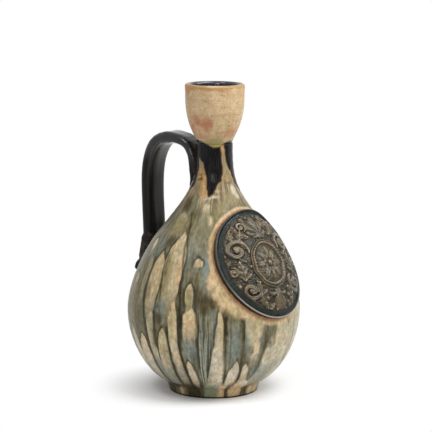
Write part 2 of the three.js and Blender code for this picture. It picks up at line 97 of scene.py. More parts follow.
def selectOnly(*pieces):
    bpy.ops.object.select_all(action='DESELECT')
    for piece in pieces:
        piece.select_set(True)
    bpy.context.view_layer.objects.active = pieces[0]


def editAll(piece):
    selectOnly(piece)
    bpy.ops.object.mode_set(mode='EDIT')
    bpy.ops.mesh.select_all(action='SELECT')


def leaveEdit():
    # normals face outward and faces are smooth
    bpy.ops.mesh.select_all(action='SELECT')
    bpy.ops.mesh.normals_make_consistent(inside=False)
    bpy.ops.mesh.faces_shade_smooth()
    bpy.ops.object.mode_set(mode='OBJECT')


def readPoints(piece, kind='co'):
    points = np.empty(len(piece.data.vertices) * 3, np.float32)
    piece.data.vertices.foreach_get(kind, points)
    points = points.reshape(-1, 3).astype(float)
    return points / mm if kind == 'co' else points


def writePoints(piece, points):
    piece.data.vertices.foreach_set('co', (points * mm).astype(np.float32).ravel())
    piece.data.update()


def pushOut(points, swell):
    points[:, :2] *= (1 + swell / np.maximum(np.hypot(points[:, 0], points[:, 1]), 1))[:, None]


def paint(piece, **layers):
    # values for each corner of the mesh, which the piece's finish reads
    for name, values in layers.items():
        values = np.asarray(values, np.float32)
        kind, field = ('FLOAT_VECTOR', 'vector') if values.ndim == 2 else ('FLOAT', 'value')
        layer = piece.data.attributes.new(name, kind, 'POINT')
        layer.data.foreach_set(field, values.ravel())


def throwPiece(name, outline, steps):
    # one corner is drawn along the outline, then the outline is spun like clay on a wheel
    bpy.ops.object.select_all(action='DESELECT')
    bpy.ops.mesh.primitive_plane_add(size=mm)
    piece = bpy.context.object
    piece.name = name
    editAll(piece)
    bpy.ops.mesh.merge(type='CENTER')
    pen = np.array(outline[0], float)
    bpy.ops.transform.translate(value=(pen[0] * mm, 0, pen[1] * mm))
    for spot in outline[1:]:
        move = (np.array(spot) - pen) * mm
        if np.abs(move).max() > 0:
            bpy.ops.mesh.extrude_vertices_move(TRANSFORM_OT_translate={'value': (move[0], 0, move[1])})
        pen = np.array(spot, float)
    bpy.ops.mesh.select_all(action='SELECT')
    bpy.ops.mesh.spin(steps=steps, angle=math.tau, center=(0, 0, 0), axis=(0, 0, 1))
    bpy.ops.mesh.select_all(action='SELECT')
    bpy.ops.mesh.remove_doubles(threshold=0.004 * mm)
    leaveEdit()
    return piece


def finishPiece(piece, material, slot, *nodes):
    piece.data.materials.clear()
    piece.data.materials.append(material)
    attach(piece, 'root')
    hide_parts(*nodes)
    print(piece.name, 'has', len(piece.data.polygons), 'faces')


# Shader helpers: a Reading is one value in a finish's nodes, and sums on it add Math nodes.

def colour(red, green, blue):
    return [((part / 255 + 0.055) / 1.055) ** 2.4 if part > 10 else part / 255 / 12.92
            for part in (red, green, blue)] + [1]


class Reading:
    def __init__(self, finish, socket):
        self.finish = finish
        self.socket = socket

    def sum(self, operation, first, second):
        return self.finish.node('ShaderNodeMath', {'operation': operation}, {0: first, 1: second})

    def __add__(self, other):
        return self.sum('ADD', self, other)

    def __sub__(self, other):
        return self.sum('SUBTRACT', self, other)

    def __rsub__(self, other):
        return self.sum('SUBTRACT', other, self)

    def __mul__(self, other):
        return self.sum('MULTIPLY', self, other)

    def most(self, other):
        return self.sum('MAXIMUM', self, other)

    def between(self, low, high):
        # 0 at low and 1 at high, eased; low may be the larger of the two
        return self.finish.node('ShaderNodeMapRange', {'interpolation_type': 'SMOOTHSTEP'},
                                {'Value': self, 'From Min': low, 'From Max': high})

    __radd__ = __add__
    __rmul__ = __mul__


class Finish:
    def __init__(self, holder, tones=None):
        # holder is a new material or world; tones are named colours from 0 to 255
        holder.use_nodes = True
        self.holder = holder
        self.tree = holder.node_tree
        self.tree.nodes.clear()
        self.tones = {name: colour(*tone) for name, tone in (tones or {}).items()}

    def node(self, kind, settings=None, sockets=None, out=0):
        made = self.tree.nodes.new(kind)
        for name, value in (settings or {}).items():
            setattr(made, name, value)
        for name, value in (sockets or {}).items():
            if isinstance(value, Reading):
                self.tree.links.new(value.socket, made.inputs[name])
            else:
                made.inputs[name].default_value = value
        return Reading(self, made.outputs[out]) if made.outputs else made

    def place(self):
        return self.node('ShaderNodeTexCoord', out='Object')

    def high(self):
        # height above the table in mm
        return self.node('ShaderNodeSeparateXYZ', None, {0: self.place()}, out='Z') * (1 / mm)

    def read(self, name):
        return self.node('ShaderNodeAttribute', {'attribute_name': name}, out='Fac')

    def patch(self, name, edge):
        # a painted soft place whose edge wanders with the noise given
        return (self.read(name) + (edge - 0.5) * 0.8).between(0.14, 0.86)

    def grain(self, size, detail=2.0, length=None, shift=0.0):
        # noise about 0.5 whose lumps are size mm across, drawn out down the wall where a length is given
        place = self.place()
        if length:
            place = self.node('ShaderNodeAttribute', {'attribute_name': 'flow'}, out='Vector')
        spread = [1 / (size * mm)] * 2 + [1 / ((length or size) * mm)]
        place = self.node('ShaderNodeMapping', None,
                          {'Vector': place, 'Scale': spread, 'Location': [shift] * 3})
        return self.node('ShaderNodeTexNoise', None,
                         {'Vector': place, 'Scale': 1.0, 'Detail': detail, 'Roughness': 0.55})

    def blend(self, factor, first, second, way='MIX'):
        first, second = (self.tones[side] if isinstance(side, str) else side for side in (first, second))
        return self.node('ShaderNodeMix', {'data_type': 'RGBA', 'blend_type': way},
                         {0: factor, 6: first, 7: second}, out=2)

    def layer(self, base, *coats):
        # lays tones over the base one by one, each as far as its factor says
        for factor, tone in coats:
            base = self.blend(factor, base, tone)
        return base

    def bump(self, height, depth, over=None):
        sockets = {'Height': height, 'Distance': depth * mm, 'Strength': 1.0}
        return self.node('ShaderNodeBump', None, sockets if over is None else {**sockets, 'Normal': over})

    def shown(self):
        # 1 for rays that show the white background, 0 for rays that light the vase
        camera, glossy, through = (self.node('ShaderNodeLightPath', out=f'Is {ray} Ray')
                                   for ray in ('Camera', 'Glossy', 'Transmission'))
        return camera.most(glossy).most(through)

    def surface(self, base, roughness, normal, specular, coat, coatRoughness):
        shader = self.node('ShaderNodeBsdfPrincipled', None, {
            'Base Color': base, 'Roughness': roughness, 'Normal': normal, 'IOR': 1.5,
            'Specular IOR Level': specular, 'Coat Weight': coat, 'Coat Roughness': coatRoughness})
        self.node('ShaderNodeOutputMaterial', None, {'Surface': shader})
        return self.holder


# The thrown body's outline, from the foot to the neck's top

thrown = {
    'foot': 8, 'footBase': 36.1, 'footTop': 38.6, 'footEdge': 0.8,
    'belly': 70.3, 'widest': 67.4, 'springOut': 16.1, 'springUp': 7,
    'lowerFullness': 27.4, 'upperFullness': 22.2,
    'shoulder': 46.3, 'shoulderHeight': 128.7, 'shoulderSlope': 51.8, 'belowPull': 10.8, 'abovePull': 46.3,
    'neck': 14.7, 'neckTop': 202.3, 'neckPull': 33.8,
    'bellyWall': 5.5, 'neckWall': 4.2, 'seam': 157.3,
    'turnSteps': 320, 'spacing': 1.25, 'insideSpacing': 4.5,
    'inset': 0.24, 'wobble': 0.1, 'ringDepth': 0.05, 'ringTurn': 0.95,  # turn in radians a mm
    'skinDepth': 1.5,  # corners nearer to the outline than this are on the outside
}


def outerCurve():
    slope = math.radians(thrown['shoulderSlope'])
    foot, widest = (thrown['footTop'], thrown['foot']), (thrown['belly'], thrown['widest'])
    shoulder, neck = (thrown['shoulder'], thrown['shoulderHeight']), (thrown['neck'], thrown['neckTop'])

    def beside(spot, out, up):
        return spot[0] + out, spot[1] + up

    def alongShoulder(pull):
        return beside(shoulder, -pull * math.cos(slope), pull * math.sin(slope))

    lower = bezier(foot, beside(foot, thrown['springOut'], thrown['springUp']),
                   beside(widest, 0, -thrown['lowerFullness']), widest)
    upper = bezier(widest, beside(widest, 0, thrown['upperFullness']), alongShoulder(-thrown['belowPull']),
                   shoulder)
    top = bezier(shoulder, alongShoulder(thrown['abovePull']), beside(neck, 0, -thrown['neckPull']), neck)
    return np.vstack([lower[:-1], upper[:-1], top])


outer = outerCurve()
outerSlope = np.gradient(outer[:, 0], outer[:, 1])


def bodyRadius(height):
    return np.interp(height, outer[:, 1], outer[:, 0])


def bodySlope(height):
    return np.interp(height, outer[:, 1], outerSlope)


def bodyOutline():
    base, edge = thrown['footBase'], thrown['footEdge']
    turn = np.linspace(0, math.pi / 2, 4)
    bevel = np.column_stack([base - edge + edge * np.sin(turn), edge - edge * np.cos(turn)])
    underside = evenly([(0, 0), (base - edge, 0)], 6)[:-1]
    footSide = evenly([(base, edge), (thrown['footTop'], thrown['foot'])], 1.2)[1:-1]
    heights = np.linspace(thrown['neckTop'], thrown['foot'] + 1, 400)
    share = np.clip((thrown['neckTop'] - heights) / (thrown['neckTop'] - thrown['seam']), 0, 1)
    wall = thrown['neckWall'] + (thrown['bellyWall'] - thrown['neckWall']) * share
    inside = np.column_stack([bodyRadius(heights) - wall * np.hypot(1, bodySlope(heights)), heights])
    floor = evenly([inside[-1], (0, thrown['foot'] + 0.4)], 6)[1:]
    return np.vstack([underside, bevel, footSide, evenly(outer, thrown['spacing']),
                      evenly(inside, thrown['insideSpacing']), floor])


# Medallion, laid out flat in millimetres across and up from its centre, then bent to the belly

plaque = {
    'height': 112.8, 'halfWidth': 40.9, 'halfHeight': 45.4,
    'floor': 0.3, 'face': 2.9, 'rimWidth': 2.5, 'rimTop': 3.92, 'grooveWidth': 3.4, 'grooveDepth': 0.7,
    'relief': 1.9, 'columns': 264, 'rows': 290, 'skirt': 0.7, 'backInsets': (0.97, 0.85, 0.72, 0.6, 0.4),
    'softening': 1, 'crestSpan': 26,  # passes of smoothing over the relief, and under its crests, which are painted lighter as wear and highlight
    'rimHighlightHeights': (104, 80),  # heights over which the painted highlight on the rim goes from faint above to full below
    'sway': 0.35, 'faceWobble': 0.05, 'grit': 0.14,  # how far the forms wander, and how uneven the face is
    'halo': 3.6, 'haloBulges': [(211, 20, 8), (262, 34, 1.2)],  # bulges: bearing, spread, width
    # the light brown tone paints the crests lighter, partly wear and partly highlight; the near-black ones
    # paint shade in the hollows and on the plaque's outer edge; the grey-white one paints a highlight on the
    # rim
    'tones': {
        'field': (34, 31, 20), 'fieldBrown': (56, 48, 30), 'teal': (20, 31, 29), 'bronze': (92, 77, 49),
        'bronzeGreen': (69, 62, 40), 'worn': (166, 138, 104), 'hollowShade': (16, 16, 13),
        'rimHighlight': (150, 144, 132), 'edge': (26, 23, 18), 'speck': (34, 30, 24)},
}
plaqueTilt = math.atan(-float(bodySlope(plaque['height'])))
plaqueCentre = np.array([0, -float(bodyRadius(plaque['height'])), plaque['height']])
plaqueOut = np.array([0, -math.cos(plaqueTilt), math.sin(plaqueTilt)])
plaqueUp = np.array([0, math.sin(plaqueTilt), math.cos(plaqueTilt)])


def onBelly(across, up, lift):
    # each spot is sent inward until it meets the belly, by halving, then lifted off it
    start = plaqueCentre + np.outer(across, (1, 0, 0)) + np.outer(up, plaqueUp)
    near = np.full(len(across), -float(plaque['halfHeight']))
    far = np.full(len(across), float(thrown['belly']))
    for halving in range(30):
        middle = (near + far) / 2
        spots = start - middle[:, None] * plaqueOut
        outside = np.hypot(spots[:, 0], spots[:, 1]) > bodyRadius(spots[:, 2])
        near, far = np.where(outside, middle, near), np.where(outside, far, middle)
    girth = np.hypot(spots[:, 0], spots[:, 1])
    normal = np.column_stack([spots[:, 0] / girth, spots[:, 1] / girth, -bodySlope(spots[:, 2])])
    normal /= np.linalg.norm(normal, axis=1)[:, None]
    return spots + normal * lift[:, None]


def rimDistance(points):
    # how far a place lies outside the medallion's oval, in its own plane, and its bearing from the centre
    across, up = points[:, 0], (points - plaqueCentre) @ plaqueUp
    share = np.maximum(ovalAt(across, up, plaque['halfWidth'], plaque['halfHeight'])[1], 1e-6)
    away = (1 - 1 / share) * np.hypot(across, up)
    return np.where(points[:, 1] < 0, away, 60), np.degrees(np.arctan2(up, across))


# Run glaze. Azimuth is 0 where the medallion faces and grows towards +X; heights are above the table.

glaze = {
    # light windows: azimuth and height at the top, then at the bottom, half width, spread, warmth
    'windows': [
        (-80.3, 135, -79.8, 77, 9.6, -0.1, 0.55), (-75.6, 98, -73.3, 10, 4.1, -0.1, 0.65),
        (-95.6, 120, -96.0, 70, 6.4, -0.3, 0.6), (-95.2, 84, -91.6, 24, 4.4, -0.3, 0.3),
        (-82.9, 65, -84.6, 13, 5.2, 0.0, 0.15), (-104.8, 54, -102.4, 7, 7.2, 0.1, 0.6),
        (-64.3, 98.5, -64.4, 79, 3.0, 0.2, 0.15), (-63.4, 84, -62.9, 52, 6.3, 0.1, 0.9),
        (-65.6, 38, -63.8, 6, 3.2, 0.5, 0.4), (-43.2, 82, -47.0, -14, 4.0, 1.8, 0.5),
        (-30.8, 39, -33.5, 6, 4.7, 0.1, 0.95), (-22.1, 34.5, -21.3, 16, 3.0, 0.5, 0.85),
        (-20, 21, -19, 2, 7.8, 0.2, 0.8), (-36, 15, -36, 1, 3.6, 0, 0.7),
        (-116.6, 128, -116.4, 117, 3.8, 0, 1.0), (-120.5, 100, -120, 89, 3.3, 0, 0.5),
        (-60.4, 119, -60.2, 110, 2.8, 0, 0.75), (-107, 115, -106, 80, 3.4, 0, 0.1),
        (-118, 62, -113, 16, 5.0, 0, 0.4), (-97, 149, -95, 134, 5.6, 0.3, 0.1),
        (-59, 156.5, -60, 149, 4.0, 0, 0.5), (-52.5, 148.5, -52, 139, 2.6, 0, 0.4),
        (-104, 168, -107, 158, 4.5, 0, 0.9), (-72, 178, -73, 152, 4.2, 0, 0.9),
        (-20, 78, -20, 44, 8.0, -0.4, 0.45), (-17.2, 62, -16.6, 33, 3.6, 0, 0.8),
        (-14.6, 73, -16.2, 50, 2.8, 0, 0.6), (6, 72, 4, 16, 9.5, 0, 0.5), (-5.5, 49, -8, 12, 5.0, 0.3, 0.3),
        (14, 52, 11, 6, 9.0, 0, 0.3), (17, 86, 17, 30, 7.0, 0, 0.5), (28, 86, 27, 8, 8.5, 0, 0.3),
        (41, 96, 40, 28, 6.0, 0, 0.5)],
    # dark runs: azimuth and height at the top, then at the bottom, half width, strength
    'runs': [
        (-74.5, 134, -70.2, 100, 1.0, 0.85), (-70.2, 104, -69.6, 62, 1.4, 1.0),
        (-69.8, 68, -70.4, 44, 1.6, 0.9), (-70.4, 48, -68.4, 5, 1.4, 1.0), (-103, 118, -102, 80, 1.3, 0.9),
        (-101.6, 84, -97.2, 36, 1.6, 0.9), (-97.4, 40, -92.5, 3, 1.8, 0.85),
        (-90.5, 78, -90.4, 46, 1.5, 0.85), (-79.2, 70, -78.4, 8, 1.4, 0.95),
        (-60.8, 94, -57.2, 62, 1.5, 0.85), (-57.6, 66, -60.4, 6, 1.1, 0.85),
        (-40.6, 82, -39.4, 58, 1.7, 1.0), (-39.8, 60, -38.2, 3, 0.8, 0.8),
        (-29.4, 80, -26.6, 54, 2.2, 0.85), (-25.6, 58, -24, 38, 3.0, 0.4), (-26.2, 42, -26.6, 14, 1.5, 0.9),
        (-27.4, 18, -30.6, 2, 1.6, 0.9), (-6, 67, -8, 50, 4.0, 0.3), (-9, 56, -12.5, 22, 1.9, 0.6),
        (-1.6, 62, -1.2, 46, 0.9, 0.5), (20, 72, 23, 24, 1.8, 0.4), (-112.5, 112, -108, 8, 1.3, 0.45),
        (-126, 104, -121, 8, 1.8, 0.4), (-84, 150, -74.5, 132, 1.0, 0.8), (33, 90, 31, 8, 1.8, 0.5),
        (-90, 122, -87.4, 102, 1.3, 0.5), (-66.6, 84, -67.4, 78, 1.0, 0.6)],
    # soft places: azimuth, height, half across, half up, strength
    'pools': [
        (-98, 9, 18, 2.0, 1.1), (-71, 6, 7.0, 9, 1.1), (-59, 9, 2, 11, 0.7), (-31.4, 6, 1.7, 9, 1.1),
        (-10.8, 5, 1.5, 6, 1.1), (-5.6, 5, 1.8, 5, 0.75), (-64, 134, 8, 10, 0.3), (24, 5, 3, 6, 0.9),
        (-112, 5, 9, 7, 1.1), (-6, 58, 4.5, 8, 0.4), (-12, 171.5, 3, 1.3, 0.6), (-57.6, 89, 3.4, 9, 0.8),
        (-53.6, 83, 4.8, 9, 0.95), (-48.4, 84, 4.6, 4.6, 1.0), (-93, 127, 5.6, 6, 0.7),
        (-101, 155, 6, 8, 0.8), (-39.4, 75, 2.4, 7, 0.9), (-86.5, 71, 5.4, 5.5, 0.75),
        (-117, 142, 9, 9, 0.5), (-75, 150, 6, 5, 0.5), (-93, 178, 4, 1.5, 0.6), (-80, 190, 2.5, 3, 0.8),
        (-60.4, 110, 2.6, 2.6, 0.6), (-35, 72, 3.4, 6, 0.5), (-106, 122, 7, 6, 0.4), (-115, 82, 5, 22, 0.4),
        (-4, 9.6, 7, 1.3, 0.8), (-75, 181, 2.2, 4, 0.6), (-90, 174, 4, 1.6, 0.7), (-88, 79, 3.4, 6, 0.45),
        (-75, 156, 5, 5, 0.4)],
    'greens': [(-51, 6, 5.2, 9, 1.0), (-14, 3, 2, 4, 0.5), (33, 4, 5, 8, 0.7)],
    'peaches': [
        (-49.4, 101, 4.0, 7.5, 1.0), (-46.4, 90, 2.8, 4, 0.8), (-38.4, 6, 2.6, 8, 1.0),
        (-21, 6, 5.8, 8, 1.1), (-90, 5, 3.0, 4, 0.8), (4, 5, 3.8, 5, 0.8), (18, 5, 7, 5, 0.8)],
    'threads': [(-55, 42, 7.2, 38, 1.1), (-37.8, 52, 1.8, 22, 0.7), (-94, 30, 3.0, 16, 0.5)],
    'cools': [
        (-33.4, 50, 4.0, 17, 1.0), (-86.5, 77, 7.0, 8, 0.9), (-63, 46, 6.0, 9, 1.0),
        (-54.6, 109, 2.2, 10, 1.3), (-66, 118, 9, 14, 0.45), (-92, 26, 5, 14, 0.7), (-84.5, 20, 5, 9, 0.7),
        (-47.4, 66, 1.8, 12, 0.9), (-106, 121, 7, 6, 0.8), (-46, 8, 7, 5, 0.9), (-73, 20, 3, 9, 0.4),
        (-2, 26, 7, 14, 0.3), (-103, 100, 1.6, 18, 0.6), (-86, 158, 3, 8, 0.35), (-50.6, 40, 2.4, 18, 0.7),
        (-65, 22, 3, 10, 0.35), (8, 50, 12, 22, 0.3), (-93, 62, 3, 12, 0.4), (-24, 64, 3, 8, 0.4),
        (-7, 24, 13, 7, 0.8), (-4, 42, 4, 8, 0.5), (8, 28, 11, 8, 0.6), (14, 56, 17, 20, 0.4),
        (-23, 51, 3.4, 9, 0.7), (-13.6, 52, 2.0, 7, 0.6)],
    'warms': [
        (-73.5, 106, 3.0, 20, 0.9), (-75.5, 86, 3, 8, 0.7), (-63, 68, 6, 10, 0.6), (-97, 78, 3, 8, 0.4),
        (-97, 111, 4, 8, 0.5), (-59.4, 96, 1.8, 5, 0.8), (-21, 11, 9, 6, 0.6), (-17, 45, 2.4, 9, 0.35),
        (-104, 30, 5, 18, 0.4), (-60.4, 115, 2.0, 3, 0.7), (-80, 174, 5.5, 9, 1.0), (-70, 166, 4, 6, 0.7),
        (-91, 181, 3, 5, 0.5), (-24, 199, 2.8, 5, 1.0), (-17, 177, 4.5, 4, 0.5), (-9, 173.5, 5, 2.2, 0.4),
        (-65.5, 14, 2.4, 4, 0.9), (-35.5, 8, 3, 4, 0.7), (-74, 30, 2.6, 14, 0.4)],
    'khakis': [
        (-86, 104, 4.4, 18, 0.8), (-96, 139, 9, 7, 1.0), (-50, 24, 6, 14, 0.5), (-16, 189, 4.5, 5, 0.8),
        (-36, 150, 9, 9, 0.6), (-14, 158, 9, 6, 0.7), (-64.4, 88, 2.4, 7, 0.8), (-99, 90, 3.6, 9, 0.7),
        (-44, 50, 3, 16, 0.3), (-90, 168, 5, 8, 0.6), (-83, 40, 4, 10, 0.6), (-107, 98, 4, 14, 0.8),
        (-20, 66, 7, 9, 0.5), (-118, 80, 9, 26, 0.6), (-88, 158, 6, 8, 0.6), (-64, 134, 9, 11, 0.5),
        (-24, 163, 11, 5, 0.35), (-4, 180, 4, 6, 0.9), (-36, 69, 1.8, 6, 0.3), (-50, 6, 2.2, 4, 0.8),
        (-89, 86, 5, 5, 0.7), (-76, 60, 3.2, 14, 0.45)],
    # pale places: those at 3/165 and 9/161 on the shoulder, at -54/160.4 and -41/165.5 under the black's edge
    # and at -54.6/112 are painted highlights, and the tall strips at 28 and -128 near the wall's outline are
    # painted reflection; the others lighten the glaze
    'pales': [
        (10, 40, 17, 24, 0.2), (28, 60, 14, 50, 0.35), (-128, 60, 8, 60, 0.15), (-45, 34, 6, 22, 0.6),
        (-31, 26, 5, 10, 0.75), (-63, 47, 5, 7, 0.6), (3, 165, 3.6, 5, 0.65), (9, 161, 3, 3, 0.6),
        (-54, 160.4, 7, 1.5, 0.8), (-41, 165.5, 4, 1.8, 0.5), (-4, 53, 1.5, 5, 0.5),
        (-54.6, 112, 1.4, 8, 0.5)],
    # where the windows' edges are soft
    'softs': [(6, 44, 30, 34, 1.0), (-52, 150, 14, 9, 1.0)],
    # lower edge of the neck's black glaze: azimuth, height
    'blackEdge': [
        (-180, 168), (-150, 164), (-125, 165), (-112, 168), (-106.5, 175), (-103.5, 188), (-99, 192),
        (-92, 190), (-84, 188), (-75, 181), (-70, 176), (-66, 170), (-62, 164), (-57, 161.5), (-50, 164),
        (-44, 168.5), (-40, 171), (-33, 173), (-29, 175), (-26, 178.5), (-23.6, 183), (-23, 206), (-7, 206),
        (-6.8, 198), (-5, 190), (-3, 185), (0, 183.5), (9, 181), (15, 175), (23, 169), (33, 165), (50, 164),
        (70, 172), (84, 188), (93, 194), (104, 186), (118, 172), (140, 165), (160, 171), (180, 168)],
    'leanFrom': 184, 'lean': 0.5,  # height from which the black's edges lean round the neck, degrees a mm
    'ridge': 0.11, 'runRidge': 0.1, 'blackStep': 0.14,  # how far the glaze stands up, mm
    # how far its edges wander, mm; each sway also has its squash down the wall, size and seed
    'sways': [(0.8, 0.3, 22, 3), (0.2, 0.4, 6, 4)], 'rise': 1.1, 'neckSway': 0.35, 'neckRise': 0.4,
    # heights between which each effect comes in
    'ridgesIn': (8, 20), 'ridgesOut': (155, 165), 'blackRaised': (150, 160), 'blackShown': (150, 156),
    # from 66 mm down, the windows are painted paler as light thrown up from the floor
    'neckShown': (150, 163), 'softWindows': (124, 146), 'floorLitWindows': (66, 26), 'burntWide': (112, 80),
    # heights below which the foot's base is painted dark as contact shade
    'footContactShade': (2.0, 0.8),
    'hiddenSeed': 11, 'hiddenFrom': 50, 'hiddenTo': 226, 'hiddenStep': 11.5,
    # tones: the dark tone at the plaque's joint and the one at the foot's edge paint shade, and the pale tone
    # also paints highlights and reflection
    'tones': {
        'ground': (122, 120, 98), 'groundDark': (92, 84, 58), 'groundCloud': (122, 110, 78),
        'groundLight': (140, 136, 116), 'groundFine': (72, 68, 48), 'window': (162, 154, 120),
        'windowWarm': (206, 184, 146), 'windowCloud': (170, 148, 104), 'windowStreak': (146, 134, 104),
        'windowBlush': (204, 168, 124), 'windowEnd': (142, 136, 112), 'cream': (198, 190, 170),
        'creamWarm': (208, 182, 146), 'neck': (160, 140, 110), 'neckDark': (94, 84, 60),
        'amber': (194, 144, 90), 'umber': (84, 66, 36), 'neckPale': (186, 172, 142),
        'khaki': (134, 122, 86), 'pale': (196, 186, 165), 'cool': (119, 129, 122), 'border': (56, 50, 33),
        'threadDark': (50, 52, 38), 'threadLight': (146, 148, 132), 'pool': (60, 49, 21),
        'run': (42, 45, 34), 'runBrown': (48, 39, 21), 'green': (126, 132, 106), 'peach': (194, 166, 128),
        'halo': (201, 174, 136), 'haloDull': (185, 164, 121), 'burnt': (154, 103, 67),
        'crack': (48, 38, 27), 'fleck': (88, 60, 36), 'fringe': (184, 168, 134), 'scorch': (84, 56, 26),
        'black': (5, 5, 8), 'blackBrown': (18, 14, 15), 'seam': (92, 86, 42), 'collar': (138, 126, 78),
        'footEdge': (34, 30, 22), 'inside': (38, 32, 28), 'bare': (158, 128, 94)},
}


cup = {
    'base': 13.7, 'radius': 23.9, 'lip': 24.15, 'height': 47.7, 'shoulder': 39.7,
    'flareOut': 2.3, 'flareUp': 5.7, 'swell': 0.6, 'sidePull': 23, 'wall': 4.2,
    'throat': 12.6, 'bowl': 19.8, 'bore': 10.5, 'seat': 0.4, 'turnSteps': 256, 'spacing': 0.8,
    'margin': 0.12, 'inset': 0.13, 'wobble': 0.07, 'ringDepth': 0.04, 'ringTurn': 1.3,
    'insideWobble': 0.1, 'sway': 1.4, 'rise': 1.1,  # how far blushes and tints wander, mm
    # blushes and tints: azimuth, height over the neck, half across, half up, strength
    'blushes': [
        (-67, 17.5, 5.0, 4.2, 1.0), (-91, 18.5, 6, 4.2, 0.75), (-112, 12, 4, 4, 0.7), (-84, 9, 9, 3.5, 0.5),
        (-8, 10, 5, 3.4, 0.6), (6, 9, 4, 4, 0.5), (120, 15, 9, 4, 0.8), (170, 11, 8, 5, 0.5)],
    'greens': [
        (-46, 0, 9, 5, 1.1), (-78, 0, 6, 3.4, 0.9), (-22, 16, 2.6, 5, 0.5), (130, 1, 14, 4, 0.8),
        (6, 1, 7, 2.6, 0.5)],
    # painted highlights along the lip's crest: azimuth, height over the neck, half across, half up, strength
    'pales': [(-50, 47.3, 8, 1.2, 0.5), (100, 47.3, 8, 1.6, 0.3)],
    # lower edge of the sand glaze over the seam: azimuth, height over the neck's top
    'drip': [
        (-180, 1.6), (-140, 2.6), (-110, 3.0), (-88, 2.4), (-75, 0.6), (-62, -1.2), (-50, -2.3),
        (-38, -2.0), (-27, -1.1), (-16, 0.6), (0, 1.9), (30, 2.8), (60, 1.0), (90, 2.2), (130, 3.0),
        (180, 1.6)],
    # how far inside the lip's crest the black inside starts: azimuth, mm
    'ink': [
        (-180, 0.9), (-155, 1.8), (-137, 2.1), (-118, 1.8), (-90, 0.6), (-47, 0.3), (0, 0.7), (25, 1.8),
        (43, 2.1), (62, 1.8), (90, 0.4), (132, 0.1), (165, 0.4), (180, 0.9)],
    # depth of the ochre band below the lip: azimuth, mm
    'band': [
        (-180, 2.5), (-130, 6), (-112, 8.5), (-98, 4.6), (-80, 3.6), (-64, 3.2), (-56, 4.8), (-46, 3.8),
        (-34, 4.4), (-20, 2.8), (0, 2.4), (30, 3.4), (70, 2.4), (110, 4.5), (150, 2.4), (180, 2.5)],
    # the pale tone paints highlights on the lip's crest
    'tones': {
        'sand': (196, 170, 130), 'sandDark': (180, 152, 112), 'cloud': (202, 178, 144),
        'grain': (160, 132, 96), 'pit': (138, 108, 72), 'iron': (108, 80, 52), 'salt': (212, 192, 160),
        'ring': (150, 124, 84), 'blush': (160, 88, 56), 'green': (142, 130, 82), 'collar': (112, 96, 50),
        'tar': (11, 10, 12), 'band': (166, 118, 64), 'lip': (156, 130, 98), 'pale': (222, 202, 174),
        'fringe': (128, 92, 60), 'ink': (17, 18, 23)},
}


def hiddenGlaze():
    # the side that the photograph doesn't show gets the same kinds of window, run and soft place
    draw = np.random.default_rng(glaze['hiddenSeed'])
    some = draw.uniform
    hidden = {kind: list(glaze[kind]) for kind in (
        'windows', 'runs', 'pools', 'cools', 'warms', 'khakis', 'greens', 'peaches')}

    def add(kind, *row):
        hidden[kind].append(row)

    for centre in np.arange(glaze['hiddenFrom'], glaze['hiddenTo'], glaze['hiddenStep']):
        azimuth = centre + some(-4, 4)
        top = some(88, 142)
        bottom = top - some(26, 62)
        half = some(3, 9)
        add('windows', azimuth, top, azimuth + some(-3, 3), bottom, half, some(-0.2, 0.4), some(0, 1))
        lower = bottom + some(-14, 6)
        second = azimuth + some(-6, 6)
        add('windows', second, lower, second + some(-3, 3), some(4, lower - 14), some(2.6, 6.5), some(0, 0.8),
            some(0, 1))
        side = azimuth + glaze['hiddenStep'] / 2 + some(-1, 1)
        add('runs', side, top - some(-8, 20), side + some(-5, 5), some(4, 34), some(0.9, 2.0), some(0.6, 1))
        add('cools', azimuth + some(-4, 4), bottom + some(-4, 10), some(3, 7), some(7, 16), some(0.5, 1))
        add('khakis', azimuth + some(-6, 6), some(40, 150), some(3, 8), some(8, 18), some(0.4, 0.8))
        for kind in ('greens', 'peaches', 'pools'):
            if some() < 0.5:
                add(kind, azimuth + some(-6, 6), 5, some(1.6, 4), 6, some(0.5, 1))
        add('warms', azimuth + half / 2, (top + bottom) / 2, 2.6, 14, some(0.2, 0.9))
        if some() < 0.4:
            add('pools', side, bottom + some(0, 12), some(3, 7), some(5, 10), 0.9)
    return glaze | hidden


def paintWindows(azimuth, height, radius, windows):
    # signed depth inside the nearest window in mm, how far down it, and its warmth
    depth = np.full(len(azimuth), -30.0)
    down = np.zeros(len(azimuth))
    warmth = np.full(len(azimuth), 0.5)
    for topAzimuth, top, lowAzimuth, low, half, spread, warm in windows:
        way = (top - height) / (top - low)
        centre = topAzimuth + (lowAzimuth - topAzimuth) * np.clip(way, 0, 1)
        offset = alongWall(azimuth, centre, radius)
        width = half * np.sin(np.clip(way / 0.34, 0, 1) * math.pi / 2) ** 0.85
        width *= 1 + spread * np.clip(way - 0.34, 0, 1) - 0.15 * np.clip((way - 0.4) / 0.6, 0, 1) ** 2
        inside = width - np.abs(offset)
        inside = np.where(way < 0, -np.hypot(offset, height - top), inside)
        inside = np.where(way > 1, inside - 0.6 * (low - height), inside)
        better = inside > depth
        depth = np.where(better, inside, depth)
        down = np.where(better, np.clip(way, 0, 1), down)
        warmth = np.where(better, warm, warmth)
    return depth, down, warmth


def paintRuns(azimuth, height, radius, runs):
    total = np.zeros(len(azimuth))
    for topAzimuth, top, lowAzimuth, low, half, strength in runs:
        way = (top - height) / (top - low)
        offset = alongWall(azimuth, topAzimuth + (lowAzimuth - topAzimuth) * way, radius)
        ends = smooth(way, -0.03, 0.12) * (1 - smooth(way, 0.9, 1.08))
        total = np.maximum(total, strength * ends * bell(offset, half * (0.75 + 0.5 * way)))
    return total


